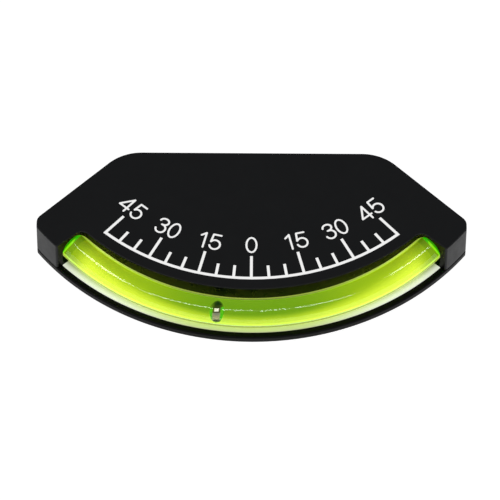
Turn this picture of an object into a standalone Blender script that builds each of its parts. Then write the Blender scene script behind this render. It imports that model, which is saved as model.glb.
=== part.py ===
"""A ball inclinometer: a steel ball rolls along a bent, liquid filled tube, over a printed scale of degrees.

It lies on its back, as in use on a table: +X is its width, +Y is up the dial, +Z comes out of the face.
The origin is under the middle of its footprint. The opening and the scale are round one axis along Z,
through the dial centre, which lies above the body's top edge. The tube, with the trench and the bed that
it lies in, is bent round an axis of its own, a little below the dial centre.
"""

from math import asin, atan2, ceil, cos, pi, radians, sin, sqrt, tan

import bmesh
import bpy
from mathutils import Matrix, Vector

MM = 0.001

# Body outline, seen from the front
BODY_WIDTH = 117.5 * MM
BODY_HEIGHT = 55.5 * MM
ARC_HALF_ANGLE = radians(53.591)
SIDE_HEIGHT = 3.08 * MM
SHOULDER_SLOPE = radians(44.5)
END_BLOCK_WIDTH = 5.62 * MM
SHOULDER_ROUND = 13.0 * MM
SIDE_ROUND = 3.0 * MM
CORNER_ROUND = 1.2 * MM
INNER_ROUND = 0.4 * MM
MOST_ROUND_SHARE = 0.45

# Housing shell
HOUSING_DEPTH = 10.0 * MM
FACE_THICKNESS = 2.0 * MM
WALL = 2.0 * MM
EDGE_ROUND = 0.3 * MM
OPENING_GAP = 0.2 * MM
OPENING_CORNER_ROUND = 4.0 * MM
TRENCH_GAP = 0.12 * MM
TRENCH_END_GAP = 0.8 * MM

# Back plate
PLATE_THICKNESS = 2.1 * MM
PLATE_EDGE_ROUND = 0.45 * MM
SEAM_GAP = 0.1 * MM
LEDGE_HEIGHT = 1.6 * MM
LEDGE_WIDTH = 1.2 * MM
LEDGE_GAP = 0.3 * MM
BED_HEIGHT = 1.35 * MM
BED_STRIP_HEIGHT = 0.4 * MM
BED_LIP = 1.8 * MM
BED_GAP = 0.15 * MM

# Vial: tube, stoppers and ball
TUBE_OUTER_DIAMETER = 8.1 * MM
TUBE_EDGE_MARGIN = 0.79 * MM
TUBE_CENTRE_DROP = 4.4 * MM
TUBE_BORE = 4.7 * MM
TUBE_LIFT = 0.85 * MM
TUBE_END_DEPTH = 3.3 * MM
PLUG_LENGTH = 2.45 * MM
PLUG_GAP = 0.1 * MM
PLUG_NOSE_DIAMETER = 3.7 * MM
PLUG_NOSE_LENGTH = 0.5 * MM
PLUG_HEAD_DIAMETER = 6.4 * MM
PLUG_HEAD_LENGTH = 0.5 * MM
PLUG_HEAD_GAP = 0.1 * MM
BALL_DIAMETER = 3.97 * MM
BALL_GAP = 0.1 * MM
BALL_ANGLE = radians(-8.28)

# Printed scale
INK_THICKNESS = 0.05 * MM
SCALE_EDGE_MARGIN = 3.26 * MM
SCALE_LINE_WIDTH = 0.82 * MM
TICK_WIDTH = 0.76 * MM
TICK_SPACING = radians(4.606)
TICKS_EACH_SIDE = 9
TICKS_PER_NUMERAL = 3
DEGREES_PER_TICK = 5
MAJOR_TICK_LENGTH = 7.8 * MM
MINOR_TICK_LENGTH = 4.5 * MM
NUMERAL_HEIGHT = 5.5 * MM
NUMERAL_STROKE = 0.53 * MM
NUMERAL_TICK_GAP = 1.0 * MM
NUMERAL_PITCH = 3.8 * MM

# Screws that hold the plate to the housing
SCREW_DIAMETER = 2.2 * MM
SCREW_LENGTH = 7.0 * MM
SCREW_POINT_LENGTH = 1.2 * MM
THREAD_PITCH = 1.1 * MM
THREAD_DEPTH = 0.25 * MM
SCREW_HEAD_DIAMETER = 4.0 * MM
SCREW_HEAD_HEIGHT = 1.1 * MM
SCREW_RECESS_WIDTH = 0.6 * MM
SCREW_RECESS_SPAN = 2.2 * MM
SCREW_RECESS_DEPTH = 0.7 * MM
SCREW_GAP = 0.15 * MM
SCREW_SINK = 0.15 * MM
BOSS_DIAMETER = 5.4 * MM
END_SCREW_FROM_SIDE = 7.15 * MM
END_SCREW_ABOVE_FOOT = 2.33 * MM
TOP_SCREW_FROM_SIDE = 27.75 * MM
TOP_SCREW_BELOW_EDGE = 7.0 * MM

# Foam pads with release liners, in pockets of the plate
PAD_FROM_MIDDLE = 7.0 * MM
PAD_FROM_SIDE = 17.75 * MM
PAD_BELOW_SCREW = 6.5 * MM
PAD_ABOVE_ARC = 9.4 * MM
PAD_CORNER_ROUND = 2.0 * MM
PAD_POCKET_DEPTH = 0.7 * MM
PAD_POCKET_GAP = 0.5 * MM
PAD_PROUD = 0.3 * MM
LINER_THICKNESS = 0.1 * MM
LINER_TAB_LENGTH = 4.0 * MM
LINER_TAB_WIDTH = 12.0 * MM

# How finely round shapes are cut, and how far a cutter passes what it cuts
ARC_STEP = radians(3.0)
ROUND_SIDES = 16
BORE_SIDES = 16
BALL_RINGS = 10
SCREW_SIDES = 12
CORNER_STEPS = 4
WIDE_CORNER_STEPS = 6
BEVEL_SEGMENTS = 2
BEVEL_ANGLE = radians(60.0)
SMOOTH_ANGLE = radians(30.0)
STROKE_CAP_STEPS = 4
NUMERAL_ARC_STEP = radians(22.0)
OVERRUN = 1.0 * MM
WELD = 0.01 * MM

# Heights above the table
PLATE_BACK = PAD_PROUD
PLATE_FRONT = PLATE_BACK + PLATE_THICKNESS
SEAM = PLATE_FRONT + SEAM_GAP
FACE = SEAM + HOUSING_DEPTH
CAVITY_TOP = FACE - FACE_THICKNESS
TUBE_RADIUS = TUBE_OUTER_DIAMETER / 2
BORE_RADIUS = TUBE_BORE / 2
BALL_RADIUS = BALL_DIAMETER / 2
TUBE_HEIGHT = PLATE_FRONT + TUBE_LIFT + TUBE_RADIUS
BALL_HEIGHT = TUBE_HEIGHT - BORE_RADIUS + BALL_RADIUS + BALL_GAP

# The outline: its arc ends at the foot of each short side, and a shoulder runs from there up to the top
SIDE_X = BODY_WIDTH / 2
TOP_Y = BODY_HEIGHT / 2
OUTER_RADIUS = SIDE_X / sin(ARC_HALF_ANGLE)
DIAL_CENTRE_Y = OUTER_RADIUS - TOP_Y
SIDE_FOOT_Y = DIAL_CENTRE_Y - OUTER_RADIUS * cos(ARC_HALF_ANGLE)
SHOULDER_START = SIDE_X - (TOP_Y - SIDE_FOOT_Y - SIDE_HEIGHT) / tan(SHOULDER_SLOPE)

# Places on the dial
OPENING_RADIUS = OUTER_RADIUS - TUBE_EDGE_MARGIN - TUBE_OUTER_DIAMETER - OPENING_GAP
OPENING_HALF_ANGLE = asin((SIDE_X - END_BLOCK_WIDTH) / OUTER_RADIUS)
SCALE_RADIUS = OPENING_RADIUS - SCALE_EDGE_MARGIN

# Places along the tube. Its angles are about its own centre, and its end walls are square to it
TUBE_CENTRE_Y = DIAL_CENTRE_Y - TUBE_CENTRE_DROP
TUBE_PATH_RADIUS = OUTER_RADIUS - TUBE_EDGE_MARGIN - TUBE_RADIUS - TUBE_CENTRE_DROP
TRENCH_RADIUS = TUBE_RADIUS + TRENCH_GAP
END_WALL_ANGLE = atan2(
    OUTER_RADIUS * sin(OPENING_HALF_ANGLE), OUTER_RADIUS * cos(OPENING_HALF_ANGLE) - TUBE_CENTRE_DROP
)
TUBE_HALF_ANGLE = END_WALL_ANGLE + TUBE_END_DEPTH / TUBE_PATH_RADIUS
TRENCH_HALF_ANGLE = TUBE_HALF_ANGLE + TRENCH_END_GAP / TUBE_PATH_RADIUS

# Screws and pads
END_SCREW_X = SIDE_X - END_SCREW_FROM_SIDE
END_SCREW_Y = SIDE_FOOT_Y + END_SCREW_ABOVE_FOOT
TOP_SCREW_X = SIDE_X - TOP_SCREW_FROM_SIDE
SHOULDER_DROP = max(0, TOP_SCREW_X - SHOULDER_START) * tan(SHOULDER_SLOPE)
TOP_SCREW_Y = TOP_Y - SHOULDER_DROP - TOP_SCREW_BELOW_EDGE
SCREW_PLACES = {
    "screw_end_left": (-END_SCREW_X, END_SCREW_Y),
    "screw_end_right": (END_SCREW_X, END_SCREW_Y),
    "screw_top_left": (-TOP_SCREW_X, TOP_SCREW_Y),
    "screw_top_right": (TOP_SCREW_X, TOP_SCREW_Y),
}
PAD_FAR_X = SIDE_X - PAD_FROM_SIDE
PAD_TOP_Y = TOP_SCREW_Y - PAD_BELOW_SCREW
PAD_BOTTOM_Y = DIAL_CENTRE_Y - sqrt(OUTER_RADIUS**2 - PAD_FAR_X**2) + PAD_ABOVE_ARC

# A screw head's outline, as shares of its radius and of its height above its flat
SCREW_HEAD_SHARES = ((1.0, 1.0), (1.0, 0.5), (0.866, 0.125), (0.5, 0.0))

# Each numeral is drawn with straight strokes and arcs. Places are shares of its height, across from its
# middle and up from its foot. An arc gives its centre, half width and half height, and its end angles.
NUMERAL_SHARES = {
    "0": {"arcs": [((0.0, 0.5), (0.253, 0.444), (0, 360))], "lines": []},
    "1": {"arcs": [], "lines": [((-0.067, 0.757), (0.155, 0.94)), ((0.155, 0.94), (0.15, 0.056))]},
    "3": {
        "arcs": [
            ((0.02, 0.752), (0.228, 0.192), (172, -88)),
            ((0.012, 0.308), (0.248, 0.252), (92, -168)),
        ],
        "lines": [((-0.035, 0.56), (0.028, 0.56))],
    },
    "4": {
        "arcs": [],
        "lines": [
            ((0.115, 0.94), (-0.345, 0.295)),
            ((-0.345, 0.295), (0.235, 0.295)),
            ((0.115, 0.94), (0.11, 0.056)),
        ],
    },
    "5": {
        "arcs": [((0.01, 0.335), (0.265, 0.279), (148, -162))],
        "lines": [((0.215, 0.94), (-0.17, 0.94)), ((-0.17, 0.94), (-0.215, 0.483))],
    },
}

# Colour, metallic value, roughness and how clear it is
FINISHES = {
    "housing_plastic": ((0.016, 0.016, 0.018), 0.0, 0.42, 0.0),
    "plate_plastic": ((0.014, 0.014, 0.014), 0.0, 0.5, 0.0),
    "clear_plastic": ((0.75, 0.9, 0.1), 0.0, 0.05, 0.9),
    "stopper_rubber": ((0.05, 0.4, 0.02), 0.0, 0.5, 0.0),
    "ball_steel": ((0.8, 0.8, 0.8), 1.0, 0.08, 0.0),
    "screw_steel": ((0.6, 0.6, 0.58), 1.0, 0.35, 0.0),
    "white_ink": ((0.9, 0.9, 0.88), 0.0, 0.6, 0.0),
    "foam_tape": ((0.8, 0.8, 0.78), 0.0, 0.9, 0.0),
    "liner_paper": ((0.85, 0.82, 0.7), 0.0, 0.6, 0.0),
}


def clear_scene():
    for thing in list(bpy.data.objects):
        bpy.data.objects.remove(thing, do_unlink=True)


def new_collection(name):
    collection = bpy.data.collections.new(name)
    bpy.context.scene.collection.children.link(collection)
    return collection


def finish(name):
    """The named material, made once."""
    if name in bpy.data.materials:
        return bpy.data.materials[name]
    colour, metallic, roughness, clear = FINISHES[name]
    material = bpy.data.materials.new(name)
    material.use_nodes = True
    shader = material.node_tree.nodes["Principled BSDF"]
    shader.inputs["Base Color"].default_value = (*colour, 1.0)
    shader.inputs["Metallic"].default_value = metallic
    shader.inputs["Roughness"].default_value = roughness
    shader.inputs["Transmission Weight"].default_value = clear
    material.diffuse_color = (*colour, 1.0)
    return material


def add_object(name, data, collection, material=None, matrix=None):
    thing = bpy.data.objects.new(name, data)
    collection.objects.link(thing)
    if matrix is not None:
        thing.matrix_world = matrix
    if material:
        data.materials.clear()
        data.materials.append(finish(material))
    return thing


def as_cutter(thing):
    thing.hide_render = True
    thing.display_type = "WIRE"
    return thing


def as_mesh(thing, name, collection):
    """A mesh object in place of this one, with its modifiers applied and its caps welded."""
    bpy.context.view_layer.update()
    evaluated = thing.evaluated_get(bpy.context.evaluated_depsgraph_get())
    mesh = bpy.data.meshes.new_from_object(evaluated)
    matrix = thing.matrix_world.copy()
    bpy.data.objects.remove(thing, do_unlink=True)
    shape = bmesh.new()
    shape.from_mesh(mesh)
    bmesh.ops.remove_doubles(shape, verts=shape.verts, dist=WELD)
    bmesh.ops.recalc_face_normals(shape, faces=shape.faces)
    shape.to_mesh(mesh)
    shape.free()
    mesh.name = name
    return add_object(name, mesh, collection, matrix=matrix)


def boolean(thing, operation, other):
    modifier = thing.modifiers.new(f"{operation.lower()} {other.name}", "BOOLEAN")
    modifier.operation = operation
    modifier.object = other


def bevel(thing, width):
    modifier = thing.modifiers.new("rounded edges", "BEVEL")
    modifier.width = width
    modifier.segments = BEVEL_SEGMENTS
    modifier.limit_method = "ANGLE"
    modifier.angle_limit = BEVEL_ANGLE


def smooth(thing):
    thing.data.shade_smooth()
    thing.data.set_sharp_from_angle(angle=SMOOTH_ANGLE)


def dial_point(radius, angle, aside=0.0):
    """The point at this radius, on the line beside the dial's radius at this angle. Zero is down."""
    along = sqrt(radius**2 - aside**2)
    return Vector((
        along * sin(angle) + aside * cos(angle),
        DIAL_CENTRE_Y - along * cos(angle) + aside * sin(angle),
    ))


def dial_arc(radius, start, end):
    """Points along an arc round the dial centre, its two ends included."""
    steps = max(1, round(abs(end - start) / ARC_STEP))
    return [dial_point(radius, start + (end - start) * i / steps) for i in range(steps + 1)]


def dial_angle(point):
    return atan2(point.x, DIAL_CENTRE_Y - point.y)


def tube_point(radius, angle):
    """The point at this radius and angle about the tube's own centre. Zero is down."""
    return Vector((radius * sin(angle), TUBE_CENTRE_Y - radius * cos(angle)))


def tube_arc(radius, start, end):
    """Points along an arc round the tube's centre, its two ends included."""
    steps = max(1, round(abs(end - start) / ARC_STEP))
    return [tube_point(radius, start + (end - start) * i / steps) for i in range(steps + 1)]


def end_wall_point(radius, inset):
    """Where the end wall, moved into the end block by inset, meets the dial's circle of this radius."""
    across = Vector((cos(END_WALL_ANGLE), sin(END_WALL_ANGLE)))
    along = Vector((sin(END_WALL_ANGLE), -cos(END_WALL_ANGLE)))
    foot = Vector((0, -TUBE_CENTRE_DROP)) + across * inset
    reach = -foot.dot(along) + sqrt(foot.dot(along) ** 2 - foot.length_squared + radius**2)
    return Vector((0, DIAL_CENTRE_Y)) + foot + along * reach


def rounded(corners):
    """Points of an outline from corners (point, fillet radius, steps). A radius of zero keeps the corner.

    A fillet takes no more than a share of the shorter of the two edges that it rounds.
    """
    points = []
    for i, (corner, radius, steps) in enumerate(corners):
        if not radius:
            points.append(corner)
            continue
        before = corners[i - 1][0] - corner
        after = corners[(i + 1) % len(corners)][0] - corner
        half = before.angle(after) / 2
        reach = min(radius / tan(half), MOST_ROUND_SHARE * min(before.length, after.length))
        middle = (before.normalized() + after.normalized()).normalized()
        centre = corner + middle * reach / cos(half)
        start = corner + before.normalized() * reach - centre
        end = corner + after.normalized() * reach - centre
        turn = start.angle_signed(end)
        for step in range(steps + 1):
            points.append(centre + Matrix.Rotation(-turn * step / steps, 2) @ start)
    return points


def mirrored(corners):
    """The same corners with X turned round, in the order that carries the outline on."""
    return [(Vector((-point.x, point.y)), radius, steps) for point, radius, steps in reversed(corners)]


def shoulder_corners(inset):
    """The corners of the right half from the shoulder to the side, all set in by the same distance."""
    top = TOP_Y - inset
    side = SIDE_X - inset
    shoulder_top = SHOULDER_START - inset * tan(SHOULDER_SLOPE / 2)
    shoulder_bottom = top - (side - shoulder_top) * tan(SHOULDER_SLOPE)
    side_bottom = DIAL_CENTRE_Y - sqrt((OUTER_RADIUS - inset) ** 2 - side**2)
    return [
        (Vector((shoulder_top, top)), SHOULDER_ROUND - inset, WIDE_CORNER_STEPS),
        (Vector((side, shoulder_bottom)), max(SIDE_ROUND - inset, INNER_ROUND), CORNER_STEPS),
        (Vector((side, side_bottom)), max(CORNER_ROUND - inset, INNER_ROUND), CORNER_STEPS),
    ]


def sharp(points):
    return [(point, 0, 0) for point in points]


def body_outline(inset):
    """The whole footprint: top edge, shoulders, sides and the curved lower side."""
    right = shoulder_corners(inset)
    reach = dial_angle(right[-1][0])
    lower = dial_arc(OUTER_RADIUS - inset, reach, -reach)[1:-1]
    return rounded(right + sharp(lower) + mirrored(right))


def housing_outline(inset):
    """The footprint less the opening that the tube shows in."""
    right = shoulder_corners(inset)
    reach = dial_angle(right[-1][0])
    outer = end_wall_point(OUTER_RADIUS - inset, inset)
    inner = end_wall_point(OPENING_RADIUS - inset, inset)
    right += sharp(dial_arc(OUTER_RADIUS - inset, reach, dial_angle(outer))[1:-1])
    right.append((outer, max(CORNER_ROUND / 2 - inset, INNER_ROUND), CORNER_STEPS))
    right.append((inner, OPENING_CORNER_ROUND, WIDE_CORNER_STEPS))
    half = dial_angle(inner)
    skip = ceil(OPENING_CORNER_ROUND / (OPENING_RADIUS * ARC_STEP)) + 1
    channel = dial_arc(OPENING_RADIUS - inset, half, -half)[skip:-skip]
    return rounded(right + sharp(channel) + mirrored(right))


def hollow_outline(inset):
    """The inside of the housing, this far from its outer walls and from the tube's trench."""
    right = shoulder_corners(inset)
    depth = inset + TUBE_END_DEPTH + TRENCH_END_GAP
    outer = end_wall_point(OUTER_RADIUS - inset, depth)
    if outer.x < right[-1][0].x:
        right.append((outer, INNER_ROUND, CORNER_STEPS))
    wall = TUBE_PATH_RADIUS - TRENCH_RADIUS - inset
    half = END_WALL_ANGLE + asin(depth / wall)
    right.append((tube_point(wall, half), INNER_ROUND, CORNER_STEPS))
    return rounded(right + sharp(tube_arc(wall, half, -half)[1:-1]) + mirrored(right))


def flat_curve(name, outlines, bottom, top):
    """A flat plate between two heights, from closed outlines. An outline inside another is a hole."""
    curve = bpy.data.curves.new(name, "CURVE")
    curve.dimensions = "2D"
    curve.fill_mode = "BOTH"
    curve.extrude = (top - bottom) / 2
    for points in outlines:
        spline = curve.splines.new("POLY")
        spline.points.add(len(points) - 1)
        for place, point in zip(spline.points, points):
            place.co = (point.x, point.y, 0, 1)
        spline.use_cyclic_u = True
    return curve


def plate(name, outlines, bottom, top, collection):
    """The mesh object of a flat plate."""
    curve = flat_curve(name, outlines, bottom, top)
    place = Matrix.Translation((0, 0, (bottom + top) / 2))
    return as_mesh(add_object(name, curve, collection, matrix=place), name, collection)


def rod(name, points, radius, sides, collection):
    """A round rod along a line of points, closed at both ends."""
    curve = bpy.data.curves.new(name, "CURVE")
    curve.dimensions = "3D"
    curve.bevel_depth = radius
    curve.bevel_resolution = sides // 2 - 2
    curve.use_fill_caps = True
    spline = curve.splines.new("POLY")
    spline.points.add(len(points) - 1)
    for place, point in zip(spline.points, points):
        place.co = (*point, 1)
    return as_mesh(add_object(name, curve, collection), name, collection)


def cylinder(name, radius, x, y, bottom, top, collection):
    shape = bmesh.new()
    bmesh.ops.create_cone(
        shape, cap_ends=True, segments=SCREW_SIDES, radius1=radius, radius2=radius, depth=top - bottom
    )
    mesh = bpy.data.meshes.new(name)
    shape.to_mesh(mesh)
    shape.free()
    return add_object(name, mesh, collection, matrix=Matrix.Translation((x, y, (bottom + top) / 2)))


def box(name, size, middle, collection):
    shape = bmesh.new()
    bmesh.ops.create_cube(shape, size=1, matrix=Matrix.Diagonal((*size, 1)))
    mesh = bpy.data.meshes.new(name)
    shape.to_mesh(mesh)
    shape.free()
    return add_object(name, mesh, collection, matrix=Matrix.Translation(middle))


def turned(name, profile, sides, collection):
    """A turned solid round its own Z, from a profile of (radius, height) that runs from top to bottom."""
    mesh = bpy.data.meshes.new(name)
    edges = [(i, i + 1) for i in range(len(profile) - 1)]
    mesh.from_pydata([(radius, 0, height) for radius, height in profile], edges, [])
    thing = add_object(name, mesh, collection)
    screw = thing.modifiers.new("turned", "SCREW")
    screw.steps = sides
    screw.render_steps = sides
    screw.use_merge_vertices = True
    screw.merge_threshold = WELD
    return as_mesh(thing, name, collection)


def make_housing(parts, cutters):
    """The front shell: face, side walls, end blocks, trench and screw bosses, open at the back."""
    housing = plate("front_housing", [housing_outline(0)], SEAM, FACE, parts)
    bevel(housing, EDGE_ROUND)
    cavity = plate("cavity", [hollow_outline(WALL)], SEAM - OVERRUN, CAVITY_TOP, cutters)
    boolean(housing, "DIFFERENCE", as_cutter(cavity))
    for name, (x, y) in SCREW_PLACES.items():
        boss_top = CAVITY_TOP + FACE_THICKNESS / 2
        boss = cylinder(f"boss {name}", BOSS_DIAMETER / 2, x, y, SEAM, boss_top, cutters)
        boolean(housing, "UNION", as_cutter(boss))
    for name, (x, y) in SCREW_PLACES.items():
        pilot_radius = SCREW_DIAMETER / 2 + SCREW_GAP
        pilot = cylinder(f"pilot {name}", pilot_radius, x, y, SEAM - OVERRUN, CAVITY_TOP, cutters)
        boolean(housing, "DIFFERENCE", as_cutter(pilot))
    boolean(housing, "DIFFERENCE", as_cutter(make_trench(cutters)))
    add_finish(housing, "housing_plastic")


def make_trench(cutters):
    """What the tube's trench takes out of the housing: round over the tube, and open to the back."""
    half_sides = ROUND_SIDES // 2
    section = [(TRENCH_RADIUS, SEAM - OVERRUN)]
    for i in range(half_sides + 1):
        turn = pi * i / half_sides
        section.append((TRENCH_RADIUS * cos(turn), TUBE_HEIGHT + TRENCH_RADIUS * sin(turn)))
    section.append((-TRENCH_RADIUS, SEAM - OVERRUN))
    count = len(section)
    rows = max(1, round(2 * TRENCH_HALF_ANGLE / ARC_STEP))
    shape = bmesh.new()
    rings = []
    for row in range(rows + 1):
        angle = TRENCH_HALF_ANGLE * (2 * row / rows - 1)
        places = [(*tube_point(TUBE_PATH_RADIUS + across, angle), height) for across, height in section]
        rings.append([shape.verts.new(place) for place in places])
    for low, high in zip(rings, rings[1:]):
        for i in range(count):
            j = (i + 1) % count
            shape.faces.new((low[i], low[j], high[j], high[i]))
    shape.faces.new(rings[0][::-1])
    shape.faces.new(rings[-1])
    bmesh.ops.recalc_face_normals(shape, faces=shape.faces)
    mesh = bpy.data.meshes.new("trench")
    shape.to_mesh(mesh)
    shape.free()
    return add_object("trench", mesh, cutters)


def make_ledge(cutters):
    """The rib on the plate that stands just inside the housing's walls, with room for the bosses."""
    outside = WALL + LEDGE_GAP
    bottom = PLATE_FRONT - PLATE_THICKNESS / 2
    top = PLATE_FRONT + LEDGE_HEIGHT
    outlines = [hollow_outline(outside), hollow_outline(outside + LEDGE_WIDTH)]
    ledge = plate("ledge", outlines, bottom, top, cutters)
    room = BOSS_DIAMETER / 2 + LEDGE_GAP
    for name, (x, y) in SCREW_PLACES.items():
        space = cylinder(f"room {name}", room, x, y, bottom - OVERRUN, top + OVERRUN, cutters)
        boolean(ledge, "DIFFERENCE", as_cutter(space))
    return ledge


def add_bed(back, cutters):
    """The bed that the tube lies on: a block that holds its inner side, and a low strip outside it."""
    inner = TUBE_PATH_RADIUS - TUBE_RADIUS
    bottom = PLATE_FRONT - PLATE_THICKNESS / 2
    half = END_WALL_ANGLE - TRENCH_GAP / TUBE_PATH_RADIUS
    outline = tube_arc(inner, half, -half) + tube_arc(TUBE_PATH_RADIUS, -half, half)
    block = plate("bed block", [outline], bottom, PLATE_FRONT + BED_HEIGHT, cutters)
    boolean(back, "UNION", as_cutter(block))
    half -= TRENCH_GAP / TUBE_PATH_RADIUS
    reach = dial_angle(end_wall_point(OUTER_RADIUS - BED_LIP, -2 * TRENCH_GAP))
    outline = tube_arc(inner + TRENCH_GAP, half, -half) + dial_arc(OUTER_RADIUS - BED_LIP, -reach, reach)
    strip = plate("bed strip", [outline], bottom, PLATE_FRONT + BED_STRIP_HEIGHT, cutters)
    boolean(back, "UNION", as_cutter(strip))
    path = [(*point, TUBE_HEIGHT) for point in tube_arc(TUBE_PATH_RADIUS, -TRENCH_HALF_ANGLE, TRENCH_HALF_ANGLE)]
    groove = rod("groove", path, TUBE_RADIUS + BED_GAP, ROUND_SIDES, cutters)
    boolean(back, "DIFFERENCE", as_cutter(groove))


def make_plate(parts, cutters):
    """The back plate: it closes the housing, carries the tube's bed and holds the foam pads behind."""
    back = plate("back_plate", [body_outline(0)], PLATE_BACK, PLATE_FRONT, parts)
    bevel(back, PLATE_EDGE_ROUND)
    boolean(back, "UNION", as_cutter(make_ledge(cutters)))
    add_bed(back, cutters)
    for side, sign in (("left", -1), ("right", 1)):
        pocket_outline = pad_outline(sign, PAD_POCKET_GAP)
        pocket_floor = PLATE_BACK + PAD_POCKET_DEPTH
        pocket = plate(f"pocket {side}", [pocket_outline], PLATE_BACK - OVERRUN, pocket_floor, cutters)
        boolean(back, "DIFFERENCE", as_cutter(pocket))
    head_radius = SCREW_HEAD_DIAMETER / 2 + SCREW_GAP
    head_floor = PLATE_BACK + SCREW_SINK + SCREW_HEAD_HEIGHT + SEAM_GAP
    for name, (x, y) in SCREW_PLACES.items():
        hole_radius = SCREW_DIAMETER / 2 + SCREW_GAP
        hole = cylinder(f"hole {name}", hole_radius, x, y, PLATE_BACK - OVERRUN, SEAM + OVERRUN, cutters)
        boolean(back, "DIFFERENCE", as_cutter(hole))
        recess = cylinder(f"recess {name}", head_radius, x, y, PLATE_BACK - OVERRUN, head_floor, cutters)
        boolean(back, "DIFFERENCE", as_cutter(recess))
    add_finish(back, "plate_plastic")


def add_finish(thing, name):
    thing.data.materials.clear()
    thing.data.materials.append(finish(name))
    smooth(thing)


def make_tube(parts, cutters):
    """The bent tube, with its bore left open. Its ends pass into the end walls."""
    path = [(*point, TUBE_HEIGHT) for point in tube_arc(TUBE_PATH_RADIUS, -TUBE_HALF_ANGLE, TUBE_HALF_ANGLE)]
    tube = rod("vial_tube", path, TUBE_RADIUS, ROUND_SIDES, parts)
    reach = TUBE_HALF_ANGLE + OVERRUN / TUBE_PATH_RADIUS
    bore_path = [(*point, TUBE_HEIGHT) for point in tube_arc(TUBE_PATH_RADIUS, -reach, reach)]
    bore = rod("bore", bore_path, BORE_RADIUS, BORE_SIDES, cutters)
    boolean(tube, "DIFFERENCE", as_cutter(bore))
    add_finish(tube, "clear_plastic")


def make_plugs(parts):
    """A stopper in each end of the bore, with a tapered nose inside and a head over the tube's end."""
    body = BORE_RADIUS - PLUG_GAP
    head = PLUG_HEAD_DIAMETER / 2
    top = PLUG_HEAD_GAP + PLUG_HEAD_LENGTH
    profile = [
        (0, top),
        (head, top),
        (head, PLUG_HEAD_GAP),
        (body, PLUG_HEAD_GAP),
        (body, PLUG_NOSE_LENGTH - PLUG_LENGTH),
        (PLUG_NOSE_DIAMETER / 2, -PLUG_LENGTH),
        (0, -PLUG_LENGTH),
    ]
    path = tube_arc(TUBE_PATH_RADIUS, -TUBE_HALF_ANGLE, TUBE_HALF_ANGLE)
    for side, end, before in (("left", path[0], path[1]), ("right", path[-1], path[-2])):
        plug = turned(f"vial_plug_{side}", profile, BORE_SIDES, parts)
        out = end - before
        turn = Matrix.Rotation(atan2(out.y, out.x), 4, "Z") @ Matrix.Rotation(pi / 2, 4, "Y")
        plug.matrix_world = Matrix.Translation((*end, TUBE_HEIGHT)) @ turn
        add_finish(plug, "stopper_rubber")


def make_ball(parts):
    """The ball, resting on the bore's floor. Its parent empty stands on the joint's axis."""
    axis = bpy.data.objects.new("ball_travel_axis", None)
    parts.objects.link(axis)
    axis.location = (0, TUBE_CENTRE_Y, BALL_HEIGHT)
    axis.rotation_euler = (0, 0, BALL_ANGLE)
    shape = bmesh.new()
    bmesh.ops.create_uvsphere(shape, u_segments=ROUND_SIDES, v_segments=BALL_RINGS, radius=BALL_RADIUS)
    mesh = bpy.data.meshes.new("ball")
    shape.to_mesh(mesh)
    shape.free()
    ball = add_object("ball", mesh, parts)
    ball.parent = axis
    ball.location = (0, -TUBE_PATH_RADIUS, 0)
    add_finish(ball, "ball_steel")
    mesh.shade_smooth()


def screw_profile():
    """Radius and height from the point down to the head's flat, which is at the bottom."""
    outer = SCREW_DIAMETER / 2
    core = outer - THREAD_DEPTH
    head = SCREW_HEAD_DIAMETER / 2
    thread_start = SCREW_HEAD_HEIGHT + THREAD_PITCH
    thread_end = SCREW_LENGTH - SCREW_POINT_LENGTH
    turns = int((thread_end - thread_start) / THREAD_PITCH)
    profile = [(0, SCREW_LENGTH), (core, thread_start + turns * THREAD_PITCH)]
    for turn in reversed(range(turns)):
        foot = thread_start + turn * THREAD_PITCH
        profile += [(outer, foot + THREAD_PITCH / 2), (core, foot)]
    profile.append((core, SCREW_HEAD_HEIGHT))
    profile += [(head * across, SCREW_HEAD_HEIGHT * up) for across, up in SCREW_HEAD_SHARES]
    return [*profile, (0, 0)]


def make_screws(parts, cutters):
    """Four self tapping screws with cross recesses, put in from behind."""
    shape = turned("screw shape", screw_profile(), SCREW_SIDES, cutters)
    recess_middle = (0, 0, (SCREW_RECESS_DEPTH - OVERRUN) / 2)
    recess_height = SCREW_RECESS_DEPTH + OVERRUN
    slots = (
        ("recess along x", (SCREW_RECESS_SPAN, SCREW_RECESS_WIDTH, recess_height)),
        ("recess along y", (SCREW_RECESS_WIDTH, SCREW_RECESS_SPAN, recess_height)),
    )
    for name, size in slots:
        boolean(shape, "DIFFERENCE", as_cutter(box(name, size, recess_middle, cutters)))
    pattern = as_mesh(shape, "screw", cutters)
    add_finish(pattern, "screw_steel")
    for name, (x, y) in SCREW_PLACES.items():
        place = Matrix.Translation((x, y, PLATE_BACK + SCREW_SINK))
        add_object(name, pattern.data, parts, matrix=place)
    bpy.data.objects.remove(pattern, do_unlink=True)


def pad_outline(sign, grow=0.0):
    """A rounded rectangle behind the plate, left or right of the middle."""
    top = PAD_TOP_Y + grow
    bottom = PAD_BOTTOM_Y - grow
    near = sign * (PAD_FROM_MIDDLE - grow)
    far = sign * (PAD_FAR_X + grow)
    corners = [(near, top), (far, top), (far, bottom), (near, bottom)]
    return rounded([(Vector(corner), PAD_CORNER_ROUND + grow, CORNER_STEPS) for corner in corners])


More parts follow.
